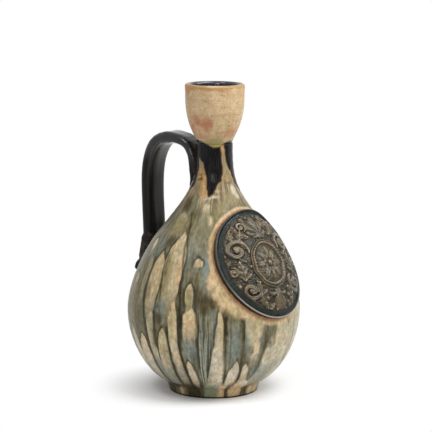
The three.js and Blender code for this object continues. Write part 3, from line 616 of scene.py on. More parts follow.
def paintPlaces(azimuth, height, radius, places):
    total = np.zeros(len(azimuth))
    for centre, middle, across, up, strength in places:
        reach = (alongWall(azimuth, centre, radius) / across) ** 2 + ((height - middle) / up) ** 2
        total = np.maximum(total, strength * np.exp(-0.8 * reach ** 1.4))
    return total


def aboveEdge(azimuth, height, radius, edge):
    # signed distance in mm from a drawn edge, more than 0 above it
    edge = np.array(edge, float)
    least = np.full(len(azimuth), 99.0)
    for (first, low), (second, high) in zip(edge[:-1], edge[1:]):
        scale = np.radians(1) * radius
        startX, alongX = (first - azimuth) * scale, (second - first) * scale
        share = -(startX * alongX + (low - height) * (high - low)) / (alongX ** 2 + (high - low) ** 2)
        share = np.clip(share, 0, 1)
        least = np.minimum(least, np.hypot(startX + share * alongX, low + share * (high - low) - height))
    return np.where(height > np.interp(azimuth, edge[:, 0], edge[:, 1]), least, -least)


def makeBody():
    body = throwPiece('glazed_body', bodyOutline(), thrown['turnSteps'])
    points = readPoints(body)
    radius, height, azimuth = polar(points)
    footRadius = thrown['footBase'] + (thrown['footTop'] - thrown['footBase']) * height / thrown['foot']
    skin = np.where(height > thrown['foot'], bodyRadius(height), footRadius)
    outside, raised = radius > skin - thrown['skinDepth'], height > 0.05
    sway = sum(far * waves(points * (1, 1, squash), size, seed) for far, squash, size, seed in glaze['sways'])
    swung = azimuth + np.degrees(sway / np.maximum(radius, 8)) * smooth(height, 0, 30)
    lifted = height + glaze['rise'] * waves(points, 18, 5)
    spots = hiddenGlaze()
    depth, down, warmth = paintWindows(swung, lifted, radius, spots['windows'])
    run = paintRuns(swung, lifted, radius, spots['runs'])
    away, bearing = rimDistance(points)
    haloWidth = plaque['halo'] + sum(width * bell(turnBetween(bearing, middle), spread)
                                     for middle, spread, width in plaque['haloBulges'])
    swungNeck = azimuth + np.degrees(glaze['neckSway'] * waves(points, 6, 8) / np.maximum(radius, 8))
    leaning = swungNeck + glaze['lean'] * np.maximum(height - glaze['leanFrom'], 0)
    wavering = height + glaze['neckRise'] * waves(points, 5, 9)
    blackDepth = aboveEdge(leaning, wavering, radius, glaze['blackEdge'])
    fall = np.interp(height, outer[:, 1], np.r_[0, np.cumsum(np.hypot(*np.diff(outer, axis=0).T))])
    fall += np.minimum(height - thrown['foot'], 0)
    turn = np.radians(swung)
    flow = np.column_stack([np.sin(turn), np.cos(turn), fall / thrown['belly']]) * thrown['belly'] * mm
    paint(body, flow=flow, window=depth, down=down, warmth=warmth, run=run, rim=away, halo=away / haloWidth,
          black=blackDepth, collar=aboveEdge(swungNeck, height - thrown['neckTop'], radius, cup['drip']),
          bare=~raised, inside=raised & ~outside)
    for kind in ('pools', 'cools', 'threads', 'softs', 'pales', 'warms', 'khakis'):
        paint(body, **{kind: paintPlaces(swung, lifted, radius, spots[kind])})
    for kind in ('greens', 'peaches'):
        paint(body, **{kind: paintPlaces(swung, height, radius, spots[kind])})
    ridge = glaze['ridge'] * bell(depth + 1.3, 1.2) * smooth(height, *glaze['ridgesIn'])
    ridge += glaze['runRidge'] * run
    rings = np.sin(height * thrown['ringTurn'] + np.radians(azimuth) + 1.2 * waves(points, 60, 6))
    swell = thrown['wobble'] * waves(points, 48, 7) - thrown['inset'] + thrown['ringDepth'] * rings
    swell += ridge * (1 - smooth(height, *glaze['ridgesOut']))
    swell += glaze['blackStep'] * smooth(blackDepth, -0.8, 0.6) * smooth(height, *glaze['blackRaised'])
    pushOut(points, np.where(outside & (height > 1), np.minimum(swell, -0.06), 0))
    writePoints(body, points)
    return body


def bodyFinish():
    skin = Finish(bpy.data.materials.new('run_glaze'), glaze['tones'])
    streak = skin.grain(4.6, 3.0, 44)
    fine = skin.grain(1.4, 2.0, 13, shift=3.0)
    mottle = skin.grain(9, 4.0, shift=7.0)
    cloud = skin.grain(22, 2.0, shift=2.0)
    fleck = skin.grain(1.0, 3.0, shift=11.0)
    ragged = skin.grain(3.4, 3.0, 11, shift=17.0)
    wander = skin.grain(17, 2.0, 44, shift=27.0)
    threads = skin.grain(1.7, 2.0, 80, shift=13.0)
    blotch = skin.grain(2.8, 3.0, 4.0, shift=21.0)
    high, down = skin.high(), skin.read('down')
    depth = skin.read('window') + (mottle - 0.5) * 1.2 + (fine - 0.5) * 1.2 + (ragged - 0.5) * 1.6
    soft = skin.read('softs').most(high.between(*glaze['softWindows']) * 0.8)
    soft = soft.most(wander.between(0.5, 0.64) * 0.75)
    opened = depth.between(soft * -1.6 - 0.35, soft * 1.8 + 0.75) * (down.between(0.62, 1.08) * -0.8 + 1)
    border = depth.between(-2.6, -0.7) * depth.between(0.5, -0.5) * down.between(1.05, 0.7) * (1 - soft)
    ground = skin.layer(
        'ground', (streak.between(0.35, 0.65), 'groundDark'),
        (cloud.between(0.42, 0.62) * 0.5, 'groundCloud'),
        (fine.between(0.5, 0.72) * 0.5, 'groundLight'), (fine.between(0.46, 0.3) * 0.5, 'groundFine'))
    cream = skin.layer('cream', ((mottle + ragged * 0.6).between(0.7, 0.95), 'creamWarm'))
    light = skin.layer(
        'window', (skin.read('warmth') + (mottle - 0.5) * 1.2, 'windowWarm'),
        (cloud.between(0.45, 0.65) * 0.3, 'windowCloud'), (ragged.between(0.5, 0.68) * 0.4, 'windowStreak'),
        (skin.read('warms') * (0.2 + mottle), 'windowBlush'),
        # the low windows painted paler towards the foot, as light thrown up from the floor
        (high.between(*glaze['floorLitWindows']) * 0.8, cream), (down.between(0.35, 1.0) * 0.45, 'windowEnd'))
    neck = skin.layer(
        'neck', (streak.between(0.4, 0.6), 'neckDark'), (skin.patch('warms', ragged) * 0.9, 'amber'),
        (ragged.between(0.52, 0.64) * 0.65, 'umber'), (fine.between(0.52, 0.66) * 0.4, 'neckPale'))
    woven = skin.layer('threadDark', (threads.between(0.42, 0.58), 'threadLight'))
    runs = skin.layer('run', (mottle.between(0.4, 0.6), 'runBrown'))
    halo = skin.read('halo') + (mottle - 0.5) * 0.7
    warmHalo = skin.layer('halo', (mottle.between(0.4, 0.65), 'haloDull'))
    rim = skin.read('rim') + (fine - 0.5) * 0.9
    shoulder = high.between(*glaze['neckShown'])
    reach = high.between(*glaze['burntWide']) * 1.3 + 2.0
    base = skin.layer(
        ground, (opened, light), (shoulder * 0.9, neck), (skin.patch('khakis', mottle) * 0.85, 'khaki'),
        # pale glaze, with painted highlights and painted reflection where the pale places put them
        (skin.patch('pales', mottle) * 0.9, 'pale'), (skin.read('cools') * (0.45 + mottle * 0.7), 'cool'),
        (border * 0.85, 'border'), (skin.read('threads') * (0.6 + mottle * 0.4) * (opened * -0.9 + 1), woven),
        (skin.patch('pools', ragged) * 0.9, 'pool'), (skin.read('run') * (0.75 + fine * 0.6), runs),
        (skin.patch('greens', mottle), 'green'), (skin.patch('peaches', mottle), 'peach'),
        (halo.between(1.25, 0.7) * 0.9, warmHalo), (rim.between(reach, 0.9) * 0.75, 'burnt'),
        # painted shade in a thin line where the plaque meets the belly, then iron flecks
        (rim.between(0.4, 0.0), 'crack'), (fleck.between(0.65, 0.7) * 0.75, 'fleck'))
    base = skin.blend(1.0, base, blotch * 1.5 + 0.25, 'MULTIPLY')
    black = skin.read('black') + (fine - 0.5) * 0.9
    tar = black.between(-0.5, 0.3) * high.between(*glaze['blackShown'])
    drips = skin.layer('black', (streak.between(0.4, 0.6), 'blackBrown'))
    collar = skin.read('collar') + (fine - 0.5) * 0.6
    bare = skin.read('bare')
    base = skin.layer(
        base, (black.between(-2.4, -0.9) * black.between(-0.3, -1.2) * 0.6, 'fringe'),
        (black.between(-2.0, -0.3) * shoulder * 0.85, 'scorch'), (tar, drips),
        (collar.between(-0.8, 0.0), 'seam'), (collar.between(-0.1, 0.6), 'collar'),
        # painted contact shade along the foot's base, then the inside and the bare underside
        (high.between(*glaze['footContactShade']), 'footEdge'), (skin.read('inside'), 'inside'), (bare, 'bare'))
    rough = opened * 0.05 - tar * 0.19 + bare * 0.5 + (mottle - 0.5) * 0.1 + 0.3
    peel = skin.bump(skin.grain(2.6, 2.0, shift=5.0), 0.10)
    normal = skin.bump(fleck * 0.05 + tar * ragged * 0.3, 1.0, peel)
    return skin.surface(base, rough, normal, specular=0.1, coat=tar * ragged.between(0.5, 0.66) * 0.4,
                        coatRoughness=0.06)


body = makeBody()
finishPiece(body, bodyFinish(), 'belly_glaze', 'foot', 'belly', 'neck')


# Cup mouth, luted on the neck

def cupSide():
    straight = thrown['neckTop'] + cup['shoulder']
    return bezier((cup['base'], thrown['neckTop']),
                  (cup['base'] + cup['flareOut'], thrown['neckTop'] + cup['flareUp']),
                  (cup['radius'] + cup['swell'], straight - cup['sidePull']), (cup['radius'], straight))


cupWallCurve = cupSide()


def cupRadius(height):
    return np.interp(height, cupWallCurve[:, 1], cupWallCurve[:, 0])


def makeCup():
    base, top = thrown['neckTop'], thrown['neckTop'] + cup['height'] - cup['margin']
    lipRound = cup['wall'] / 2
    crest = cup['lip'] - lipRound
    turn = np.linspace(0, math.pi, 15)
    lip = np.column_stack([crest + lipRound * np.cos(turn), top - lipRound + lipRound * np.sin(turn)])
    inner = cup['radius'] - cup['wall']
    inside = bezier((inner, base + cup['shoulder']), (inner, base + cup['bowl']),
                    (cup['bore'], base + cup['throat']), (cup['bore'], base))
    seat = base - cup['seat']
    outline = np.vstack([[(cup['bore'], seat), (cup['base'], seat)], evenly(cupWallCurve, cup['spacing']),
                         lip, evenly(inside, 1.2), [(cup['bore'], seat)]])
    mouth = throwPiece('cup_mouth', outline, cup['turnSteps'])
    points = readPoints(mouth)
    radius, height, azimuth = polar(points)
    up = height - base
    inward = (radius < np.minimum(cupRadius(height), cup['lip']) - lipRound) & (up > 0)
    swung = azimuth + np.degrees(cup['sway'] * waves(points, 12, 21) / np.maximum(radius, 8))
    lifted = up + cup['rise'] * waves(points, 11, 22)
    bandDepth = np.interp(swung, *np.array(cup['band'], float).T) + 0.5 * waves(points, 4, 23)
    paint(mouth, flow=points * mm, collar=aboveEdge(swung, up, radius, cup['drip']),
          blush=paintPlaces(swung, lifted, radius, cup['blushes']),
          green=paintPlaces(swung, lifted, radius, cup['greens']),
          pale=paintPlaces(azimuth, up, radius, cup['pales']), band=bandDepth - (cup['height'] - up),
          lip=cup['height'] - up, inside=inward,
          inward=crest - radius - np.interp(azimuth, *np.array(cup['ink']).T))
    rings = np.sin(height * cup['ringTurn'] + np.radians(azimuth))
    swell = cup['wobble'] * waves(points, 26, 24) - cup['inset'] + cup['ringDepth'] * rings
    swell = np.where(inward, cup['insideWobble'] * waves(points, 20, 25), np.minimum(swell, -0.01))
    pushOut(points, swell * smooth(up, 0, 3))
    writePoints(mouth, points)
    return mouth


def cupFinish():
    skin = Finish(bpy.data.materials.new('sand_glaze'), cup['tones'])
    mottle = skin.grain(6, 4.0)
    fine = skin.grain(1.3, 3.0, shift=4.0)
    speck = skin.grain(0.8, 2.0, shift=9.0)
    cloud = skin.grain(14, 2.0, shift=2.0)
    pits = skin.grain(1.9, 2.0, shift=6.0)
    rings = skin.grain(16, 2.0, 1.3, shift=13.0)
    collar = skin.read('collar') + (fine - 0.5) * 0.6
    tar = collar.between(0.2, -0.4)
    band = skin.read('band') + (fine - 0.5) * 1.4 + (mottle - 0.5) * 3
    lip = skin.read('lip') + (fine - 0.5) * 0.8
    inward = skin.read('inward') + (mottle - 0.5) * 0.5
    upper = lip.between(6.0, 4.0).most(skin.read('inside'))
    within = inward.between(-0.5, 0.0) * upper
    base = skin.layer(
        'sand', (mottle.between(0.35, 0.65), 'sandDark'), (cloud.between(0.5, 0.7) * 0.5, 'cloud'),
        (fine.between(0.52, 0.7) * 0.4, 'grain'), (pits.between(0.56, 0.68) * 0.5, 'pit'),
        (speck.between(0.6, 0.68) * 0.75, 'iron'), (speck.between(0.38, 0.3) * 0.4, 'salt'),
        (rings.between(0.55, 0.7) * 0.35, 'ring'), (skin.read('blush') * (0.25 + mottle * 1.2), 'blush'),
        (skin.patch('green', mottle) * 0.85, 'green'), (collar.between(1.0, 0.0) * 0.8, 'collar'),
        (tar, 'tar'), (band.between(-0.9, 0.8) * 0.8, 'band'), (lip.between(1.7, 0.8), 'lip'),
        # a painted highlight on the lip's crest, the amber fringe, then the black inside
        (skin.patch('pale', fine), 'pale'), (inward.between(-1.0, -0.4) * upper, 'fringe'), (within, 'ink'))
    rough = 0.5 - (within + tar) * 0.36 + (mottle - 0.5) * 0.1
    normal = skin.bump(speck, 0.08, skin.bump(pits + rings * 0.7, 0.22))
    return skin.surface(base, rough, normal, specular=0.4, coat=within * 0.8, coatRoughness=0.08)


mouth = makeCup()
finishPiece(mouth, cupFinish(), 'cup_glaze', 'mouth_cup')


# Handle: the strap and the wad at its lower end, fused and softened as wet clay

strap = {
    'yaw': 2.7, 'voxel': 0.62, 'grow': 0.3, 'softening': 14, 'sink': 0.55,
    'archReach': 42, 'archHeight': 158, 'endHeight': 121,
    'innerGroove': 0.8, 'grooveAcross': -7.6, 'grooveHalf': 2.8, 'rightShare': 0.3,
    'overgrow': 0.28, 'outermost': 76.5, 'wobble': 0.1, 'lumps': 0.12,
    'pressed': (0.5, 1.8), 'free': (0.8, 3.2),  # gaps to the body where the clay is pressed on, or hangs free
    # heights between which the inner face and the arch top are painted grey as sheen, and the arch's coat
    # shines
    'innerGrey': (165, 190), 'innerDull': (110, 150), 'archSheenHeights': (184, 194), 'archShine': (180, 192),
    # thumb dents on the wad: across, height, half size, depth
    'dents': [
        (-6.5, 112, 4.5, 1.1), (4, 108, 5, 1.0), (-9, 99, 3.4, 0.9), (9.5, 101, 4, 1.0), (0, 94, 5, 0.8)],
    # the two greys paint sheen on the black glaze, on the arch top and on the inner face
    'tones': {
        'black': (12, 12, 13), 'drawn': (23, 22, 22), 'archSheen': (60, 59, 58), 'inner': (94, 92, 88),
        'rust': (58, 46, 34), 'grit': (92, 76, 58)},
}


def bodyGap(points):
    radius, height = polar(points)[:2]
    belowCup = height < thrown['neckTop']
    skin = np.where(belowCup, bodyRadius(height), cupRadius(height))
    return (radius - skin) / np.hypot(1, np.where(belowCup, bodySlope(height), 0.6))


def fuseHandle():
    copies = []
    for name in ('handle', 'handle_wad'):
        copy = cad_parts[name].copy()
        copy.data = copy.data.copy()
        copy.parent = None
        for key in list(copy.keys()):
            del copy[key]
        bpy.context.collection.objects.link(copy)
        copies.append(copy)
    selectOnly(*copies)
    bpy.ops.object.join()
    handle = bpy.context.object
    handle.name = 'pulled_handle'
    handle.matrix_world = Matrix.Identity(4)
    editAll(handle)
    bpy.ops.mesh.remove_doubles(threshold=0.004 * mm)
    bpy.ops.object.mode_set(mode='OBJECT')
    for kind, settings in (('DISPLACE', {'strength': strap['grow'] * mm, 'mid_level': 0}),
                           ('REMESH', {'mode': 'VOXEL', 'voxel_size': strap['voxel'] * mm}),
                           ('SMOOTH', {'factor': 0.5, 'iterations': strap['softening']})):
        modifier = handle.modifiers.new(kind, kind)
        for name, value in settings.items():
            setattr(modifier, name, value)
        bpy.ops.object.modifier_apply(modifier=modifier.name)
    editAll(handle)
    leaveEdit()
    return handle


def makeHandle():
    handle = fuseHandle()
    points, normals = readPoints(handle), readPoints(handle, 'normal')
    yaw = math.radians(strap['yaw'])
    height, end = points[:, 2], strap['endHeight']
    across = points[:, 0] * math.cos(yaw) + points[:, 1] * math.sin(yaw)
    reach = points[:, 1] * math.cos(yaw) - points[:, 0] * math.sin(yaw)
    beyond = reach - strap['archReach']
    outward = np.column_stack([-math.sin(yaw) * beyond, math.cos(yaw) * beyond,
                               height - strap['archHeight']])
    outward /= np.linalg.norm(outward, axis=1)[:, None]
    facing = (normals * outward).sum(1)
    gap = bodyGap(points)
    free = smooth(gap, *strap['free'])
    hanging = free * smooth(height, end - 2, end + 8)
    groove = bell(across - strap['grooveAcross'], strap['grooveHalf'])
    groove += strap['rightShare'] * bell(across + strap['grooveAcross'], strap['grooveHalf'])
    groove *= smooth(-facing, 0.3, 0.8) * hanging
    overgrow = strap['overgrow'] * (1 - smooth(points[:, 1], strap['outermost'] - 2, strap['outermost']))
    move = overgrow - strap['grow'] - strap['innerGroove'] * groove
    move -= strap['wobble'] * (1 + waves(points * (2, 2, 0.5), 22, 31)) * free
    for middle, level, half, depth in strap['dents']:
        move -= depth * bell(np.hypot(across - middle, height - level), half) * smooth(facing, -0.2, 0.6)
    rough = np.maximum(1 - smooth(height, end - 4, end + 10), 1 - smooth(gap, 1, 6))
    move += strap['lumps'] * rough * waves(points, 5, 32) - strap['lumps'] / 2 * rough
    paint(handle, flow=np.column_stack([across, reach * 0.15, height]) * mm, rough=rough,
          inner=smooth(-facing, 0.2, 0.7) * hanging, groove=groove)
    points += normals * move[:, None]
    gap = bodyGap(points)
    pushOut(points, -(gap + strap['sink']) * (1 - smooth(gap, *strap['pressed'])))
    writePoints(handle, points)
    return handle


def handleFinish():
    skin = Finish(bpy.data.materials.new('black_glaze'), strap['tones'])
    drawn = skin.grain(2.4, 3.0, 30)
    mottle = skin.grain(7, 3.0, shift=2.0)
    fine = skin.grain(1.0, 3.0, shift=5.0)
    high, rough = skin.high(), skin.read('rough')
    lit = high.between(*strap['innerGrey']) * 0.75 + high.between(*strap['innerDull']) * 0.25
    base = skin.layer(
        # the arch top painted grey as sheen
        'black', (drawn.between(0.4, 0.7), 'drawn'), (high.between(*strap['archSheenHeights']) * drawn * 0.5, 'archSheen'),
        # the inner face painted grey as sheen, more so higher up, and the groove painted black as shade
        (skin.read('inner') * lit * (0.3 + drawn * 0.9), 'inner'), (skin.read('groove') * 0.8, 'black'),
        (rough * mottle.between(0.45, 0.65) * 0.8, 'rust'), (rough * fine.between(0.6, 0.75) * 0.7, 'grit'))
    shine = 0.2 + rough * 0.18 + (mottle - 0.5) * 0.12
    normal = skin.bump(fine, 0.06, skin.bump(drawn, 0.12))
    return skin.surface(base, shine, normal, specular=0.13, coat=high.between(*strap['archShine']) * 0.45,
                        coatRoughness=0.1)


handle = makeHandle()
finishPiece(handle, handleFinish(), 'handle_glaze', 'handle', 'handle_wad')


# Relief of the medallion: an oval frame round a rosette, with palmette, leaves and scrolls

ornament = {
    'drop': 2.5,  # frame and rosette below the centre
    'frame': (14.4, 17.2, 1.3), 'beads': 44,  # half width, half height, half band
    'rosette': (12.2, 15), 'petals': 8,  # half width, half height
    # rings of petals: turned by half a petal or not, height, middle, half length, half width
    'petalRings': [(1, 0.4, 0.72, 0.27, 0.15), (0, 0.85, 0.62, 0.36, 0.2), (1, 0.7, 0.36, 0.17, 0.11)],
    'palmette': (20.6, 17.5, 1.45), 'palmetteLobes': 14,  # heart's height, reach, spread
    'leafDrop': (-25.4, 15),  # heart's height, reach
    # scrolls: centre, reach, eye, band, start in degrees, way of turning
    'scrolls': [
        ((24.6, 12.6), 9.4, 1.9, 3.8, 203.4, -1), ((23.6, -20.4), 8.4, 1.7, 3.6, 128.9, 1),
        ((12.6, 30.2), 4.6, 1.0, 2.3, 250, -1), ((32.6, -3.5), 3.8, 1.0, 2.1, 90, 1)],
    'scrollTurns': 1.35,
    # leaves: stalk, direction in degrees, length, half width
    'leaves': [
        ((26.0, -12.5), 92, 17.5, 5.0), ((30.0, 18.5), 64, 12.5, 3.9), ((33.2, 10.5), 20, 6.0, 3.2),
        ((24.5, 21.0), 100, 11.5, 3.8), ((19.0, 19.5), 118, 10.0, 3.2), ((32.0, 5.5), -28, 7.5, 3.2),
        ((29.0, -25.0), -42, 8.5, 3.6), ((24.0, -27.5), -76, 11.0, 3.8), ((17.5, -25.5), -112, 11.5, 3.4),
        ((30.5, -15.0), -8, 8.0, 3.4), ((15.5, 11.5), 66, 9.5, 3.0), ((15.5, -14.5), -62, 9.5, 3.0),
        ((8.0, 33.0), 66, 8.0, 2.6), ((7.0, -33.0), -50, 9.5, 3.0), ((11.0, 20.5), 28, 8.0, 2.8),
        ((10.5, -22.8), -22, 8.0, 2.8), ((20.5, 2.5), 40, 6.0, 2.2), ((20.0, -8.0), -30, 5.5, 2.1),
        ((17.5, 26.0), 75, 8.5, 2.8), ((13.0, -31.0), -80, 8.0, 2.6)],
    # berries: across, up, radius
    'berries': [
        (21.6, 30.8, 1.9), (11.5, -28.5, 1.9), (35.8, 13.5, 1.2), (35.0, -11.0, 1.2), (18.4, -1.8, 1.3),
        (4.5, 37.5, 1.2), (20.5, -35.0, 1.2), (28.6, 30.0, 1.2), (4.6, -38.4, 1.2), (33.0, -20.0, 1.2)],
}


def ribAt(lobes, angle):
    return np.abs(np.cos(lobes * angle / 2))


def dome(share, power=0.55):
    return np.clip(1 - share ** 2, 0, 1) ** power


def petalAt(angle, share, middle, half, width):
    # height of the nearest of a ring of petals, each an ellipse with a groove along its middle
    count = ornament['petals']
    turn = (angle + math.pi / count) % (math.tau / count) - math.pi / count
    along, off = share * np.cos(turn), share * np.sin(turn)
    return dome(np.hypot((along - middle) / half, off / width)) * (1 - 0.25 * bell(off, 0.2 * width))


def scrollAt(x, y, centre, far, eye, width, start, turn):
    way = np.linspace(0, 1, 110)
    bearing = np.radians(start) + turn * math.tau * ornament['scrollTurns'] * way
    radius = far + (eye - far) * way ** 0.85
    pathX, pathY = centre[0] + radius * np.cos(bearing), centre[1] + radius * np.sin(bearing)
    half = width / 2 * (0.4 + 0.6 * np.minimum(1, np.minimum(8 * way, 3.2 * (1.25 - way))))
    away = np.hypot(x - centre[0], y - centre[1])
    close = away < far + width
    least = (np.hypot(x[close, None] - pathX, y[close, None] - pathY) / half).min(1)
    rise = dome(away / (eye + 0.35))
    rise[close] = np.maximum(rise[close], dome(least, 0.5) * (0.95 - 0.3 * bell(least, 0.2)))
    return rise


def leafAt(x, y, stalk, direction, length, half):
    turn = math.radians(direction)
    run = ((x - stalk[0]) * math.cos(turn) + (y - stalk[1]) * math.sin(turn)) / length
    off = (y - stalk[1]) * math.cos(turn) - (x - stalk[0]) * math.sin(turn)
    share = np.clip(run, 0, 1)
    lobes = np.abs(np.sin(math.pi * (3.5 * share + 0.5)))
    width = half * np.sin(math.pi * share ** 0.75) ** 0.8 * (0.68 + 0.32 * lobes)
    lie = np.where((run > 0) & (run < 1), np.abs(off) / np.maximum(width, 0.05), 9)
    veins = 0.18 * np.cos(math.tau * (3.5 * share - 0.9 * np.abs(off) / half))
    return dome(lie, 0.45) * (0.62 + veins * (np.abs(off) > 0.35) + 0.3 * bell(off, 0.4))


def reliefAt(x, y):
    # height of the ornament over the plaque's face, from 0 to 1; the sides mirror each other
    side, low = np.abs(x), y + ornament['drop']
    halfWidth, halfHeight, band = ornament['frame']
    angle, share = ovalAt(x, low, halfWidth, halfHeight)
    past = (share - 1) * np.hypot(x, low) / np.maximum(share, 1e-6)
    bead = 0.5 + 0.5 * np.cos(ornament['beads'] * angle)
    forms = [dome(past / band) * (0.6 + 0.4 * bead * dome(past / (0.6 * band))),
             0.6 * dome((past - 2.1) / 0.6), 0.14 * smooth(-past, 0, 2)]
    angle, share = ovalAt(x, low, *ornament['rosette'])
    for turned, height, *petal in ornament['petalRings']:
        forms.append(height * petalAt(angle + turned * math.pi / ornament['petals'], share, *petal))
    forms.append(dome(share / 0.2))
    heart, reach, spread = ornament['palmette']
    lean, away = np.arctan2(x, y - heart), np.hypot(x, y - heart)
    rib = ribAt(ornament['palmetteLobes'], lean / spread)
    fan = np.maximum(0, np.cos(lean / spread)) * (0.75 + 0.25 * np.cos(lean)) * (1 - 0.24 * (1 - rib))
    forms += [dome(away / (3 + (reach - 3) * fan), 0.4) * (0.34 + 0.6 * rib), dome(away / 3.0)]
    heart, reach = ornament['leafDrop']
    lean, away = np.arctan2(x, heart - y), np.hypot(x, y - heart)
    fan = np.where(np.abs(lean) < 1.65, 0.66 + 0.34 * np.cos(lean), 0.07)
    edge = 3.2 + (reach - 3.2) * fan * ribAt(3, lean) ** 0.6
    groove = 0.35 * bell(1 - ribAt(3, lean), 0.03)
    forms.append(dome(away / edge, 0.5) * (0.5 + 0.45 * ribAt(9, lean) - groove))
    forms += [scrollAt(side, y, *scroll) for scroll in ornament['scrolls']]
    forms += [leafAt(side, y, *leaf) for leaf in ornament['leaves']]
    forms += [0.65 * dome(np.hypot(side - across, y - up) / radius)
              for across, up, radius in ornament['berries']]
    return np.clip(np.maximum.reduce(forms), 0, 1)


def soften(grid, passes):
    for turn in range(passes):
        for axis in (0, 1):
            padded = np.pad(grid, [(1, 1) if axis == side else (0, 0) for side in (0, 1)], mode='edge')
            near = padded[:-2] + padded[2:] if axis == 0 else padded[:, :-2] + padded[:, 2:]
            grid = grid / 2 + near / 4
    return grid


def makeMedallion():
    bpy.ops.object.select_all(action='DESELECT')
    bpy.ops.mesh.primitive_grid_add(x_subdivisions=plaque['columns'], y_subdivisions=plaque['rows'], size=2)
    piece = bpy.context.object
    piece.name = 'relief_medallion'
    front = len(piece.data.vertices)
    editAll(piece)
    bpy.ops.mesh.region_to_loop()
    bpy.ops.mesh.extrude_edges_move(TRANSFORM_OT_translate={'value': (0, 0, -0.1)})
    for inset in plaque['backInsets']:
        bpy.ops.mesh.extrude_edges_move(TRANSFORM_OT_translate={'value': (0, 0, -0.1)})
        bpy.ops.transform.resize(value=(inset, inset, 1), center_override=(0, 0, 0))
    bpy.ops.mesh.extrude_edges_move(TRANSFORM_OT_translate={'value': (0, 0, 0)})
    bpy.ops.mesh.merge(type='CENTER')
    leaveEdit()
    flat = readPoints(piece) * mm
    across = flat[:, 0] * np.sqrt(1 - flat[:, 1] ** 2 / 2) * plaque['halfWidth']
    up = flat[:, 1] * np.sqrt(1 - flat[:, 0] ** 2 / 2) * plaque['halfHeight']
    around = np.column_stack([across, up])[:front]
    share = np.maximum(ovalAt(*around.T, plaque['halfWidth'], plaque['halfHeight'])[1], 1e-6)
    inward = np.clip((1 / share - 1) * np.hypot(*around.T), 0, 60)
    rise = reliefAt(*(around[:, side] + plaque['sway'] * waves(around, 14, 41 + side) for side in (0, 1)))
    rimWidth, margin = plaque['rimWidth'], plaque['rimWidth'] + plaque['grooveWidth']
    rise *= smooth(inward, margin - 0.8, margin + 0.8)
    columns, rows = np.round(flat[:front, :2], 5).T
    order = np.lexsort((columns, rows))
    grid = rise[order].reshape(len(np.unique(rows)), -1)
    worn = soften(grid, plaque['softening'])
    height, crest = np.empty(front), np.empty(front)
    height[order] = worn.ravel()
    crest[order] = (worn - soften(grid, plaque['crestSpan'])).ravel()
    rim = plaque['floor'] + (plaque['rimTop'] - plaque['floor']) * dome(inward / rimWidth * 2 - 1, 0.5)
    groove = 1 - smooth(inward, rimWidth, margin)
    face = plaque['face'] - plaque['grooveDepth'] * groove + plaque['faceWobble'] * waves(around, 6, 43)
    face += plaque['relief'] * height + plaque['grit'] * waves(around, 2.2, 44) * (1 - height) * (1 - groove)
    lift = np.full(len(flat), -plaque['skirt'])
    lift[:front] = np.where(inward < 0.05, 0.0, np.where(inward < rimWidth, rim, face))
    piece.matrix_world = Matrix.Identity(4)
    writePoints(piece, onBelly(across, up, lift))
    back = np.zeros(len(flat) - front)
    paint(piece, raised=np.r_[height, back], crest=np.r_[crest, back], inward=np.r_[inward, back])
    return piece


def medallionFinish():
    skin = Finish(bpy.data.materials.new('bronze_glaze'), plaque['tones'])
    mottle = skin.grain(5, 3.0)
    fine = skin.grain(0.9, 3.0, shift=3.0)
    cloud = skin.grain(16, 2.0, shift=8.0)
    high, raised, crest, inward = skin.high(), skin.read('raised'), skin.read('crest'), skin.read('inward')
    bronze = skin.layer('bronze', (cloud.between(0.35, 0.65), 'bronzeGreen'))
    # the relief's crests, painted lighter, partly as wear and partly as painted highlight
    worn = (crest + (mottle - 0.5) * 0.5 + (fine - 0.5) * 0.2).between(0.12, 0.46)
    # painted highlight along the rim's crest, strong low on the plaque and faint higher up
    rimHighlight = inward.between(1.8, 1.3) * inward.between(0.5, 0.9)
    rimHighlight *= high.between(*plaque['rimHighlightHeights']) * 0.85 + 0.12
    base = skin.layer(
        'field', (mottle.between(0.4, 0.62), 'fieldBrown'),
        (inward.between(7, 4.2) * (0.65 + mottle * 0.4), 'teal'),
        (raised.between(0.06, 0.4) * (0.5 + mottle * 0.7), bronze), (worn * 0.8, 'worn'),
        # painted shade in the relief's hollows, and the painted highlight along the rim
        (crest.between(-0.02, -0.2) * 0.9, 'hollowShade'), (rimHighlight, 'rimHighlight'),
        # painted shade along the plaque's outer edge, then dark specks
        (inward.between(0.7, 0.3), 'edge'), (fine.between(0.6, 0.72) * 0.4, 'speck'))
    rough = 0.32 - worn * 0.08 + (mottle - 0.5) * 0.14
    normal = skin.bump(fine, 0.10, skin.bump(mottle, 0.2))
    return skin.surface(base, rough, normal, specular=0.24, coat=raised.between(0.3, 0.8) * 0.5,
                        coatRoughness=0.14)


medallion = makeMedallion()
medallionNodes = [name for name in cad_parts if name.startswith(
    ('plaque', 'frame_oval', 'rosette', 'palmette', 'leaf', 'scroll', 'berry'))]
finishPiece(medallion, medallionFinish(), 'plaque_glaze', *medallionNodes)


# Floor, lamps and camera

studio = {
    'azimuth': -47.3, 'distance': 1538.2, 'height': 392.7, 'pitch': 9.212, 'roll': 0.3046,
    'focal': 1928.67, 'frameWidth': 432, 'centreX': 214.24, 'centreY': 215.12, 'sensor': 36,
    'floorSize': 12000, 'paper': (244, 244, 244),
    'shadowAt': (-0.001, 0.006, 0), 'shadowFrom': 0.035, 'shadowTo': 0.101,  # metres, as the nodes read them
    'ambient': 0.4, 'lampDistance': 1100, 'lampAim': 120,
    # lamps: azimuth from the camera, elevation, size, watts
    'lamps': [(58, 64, 600, 8.0), (78, 34, 500, 5.0), (-46, 57, 260, 1.9), (-9, 22, 300, 1.6)],
}


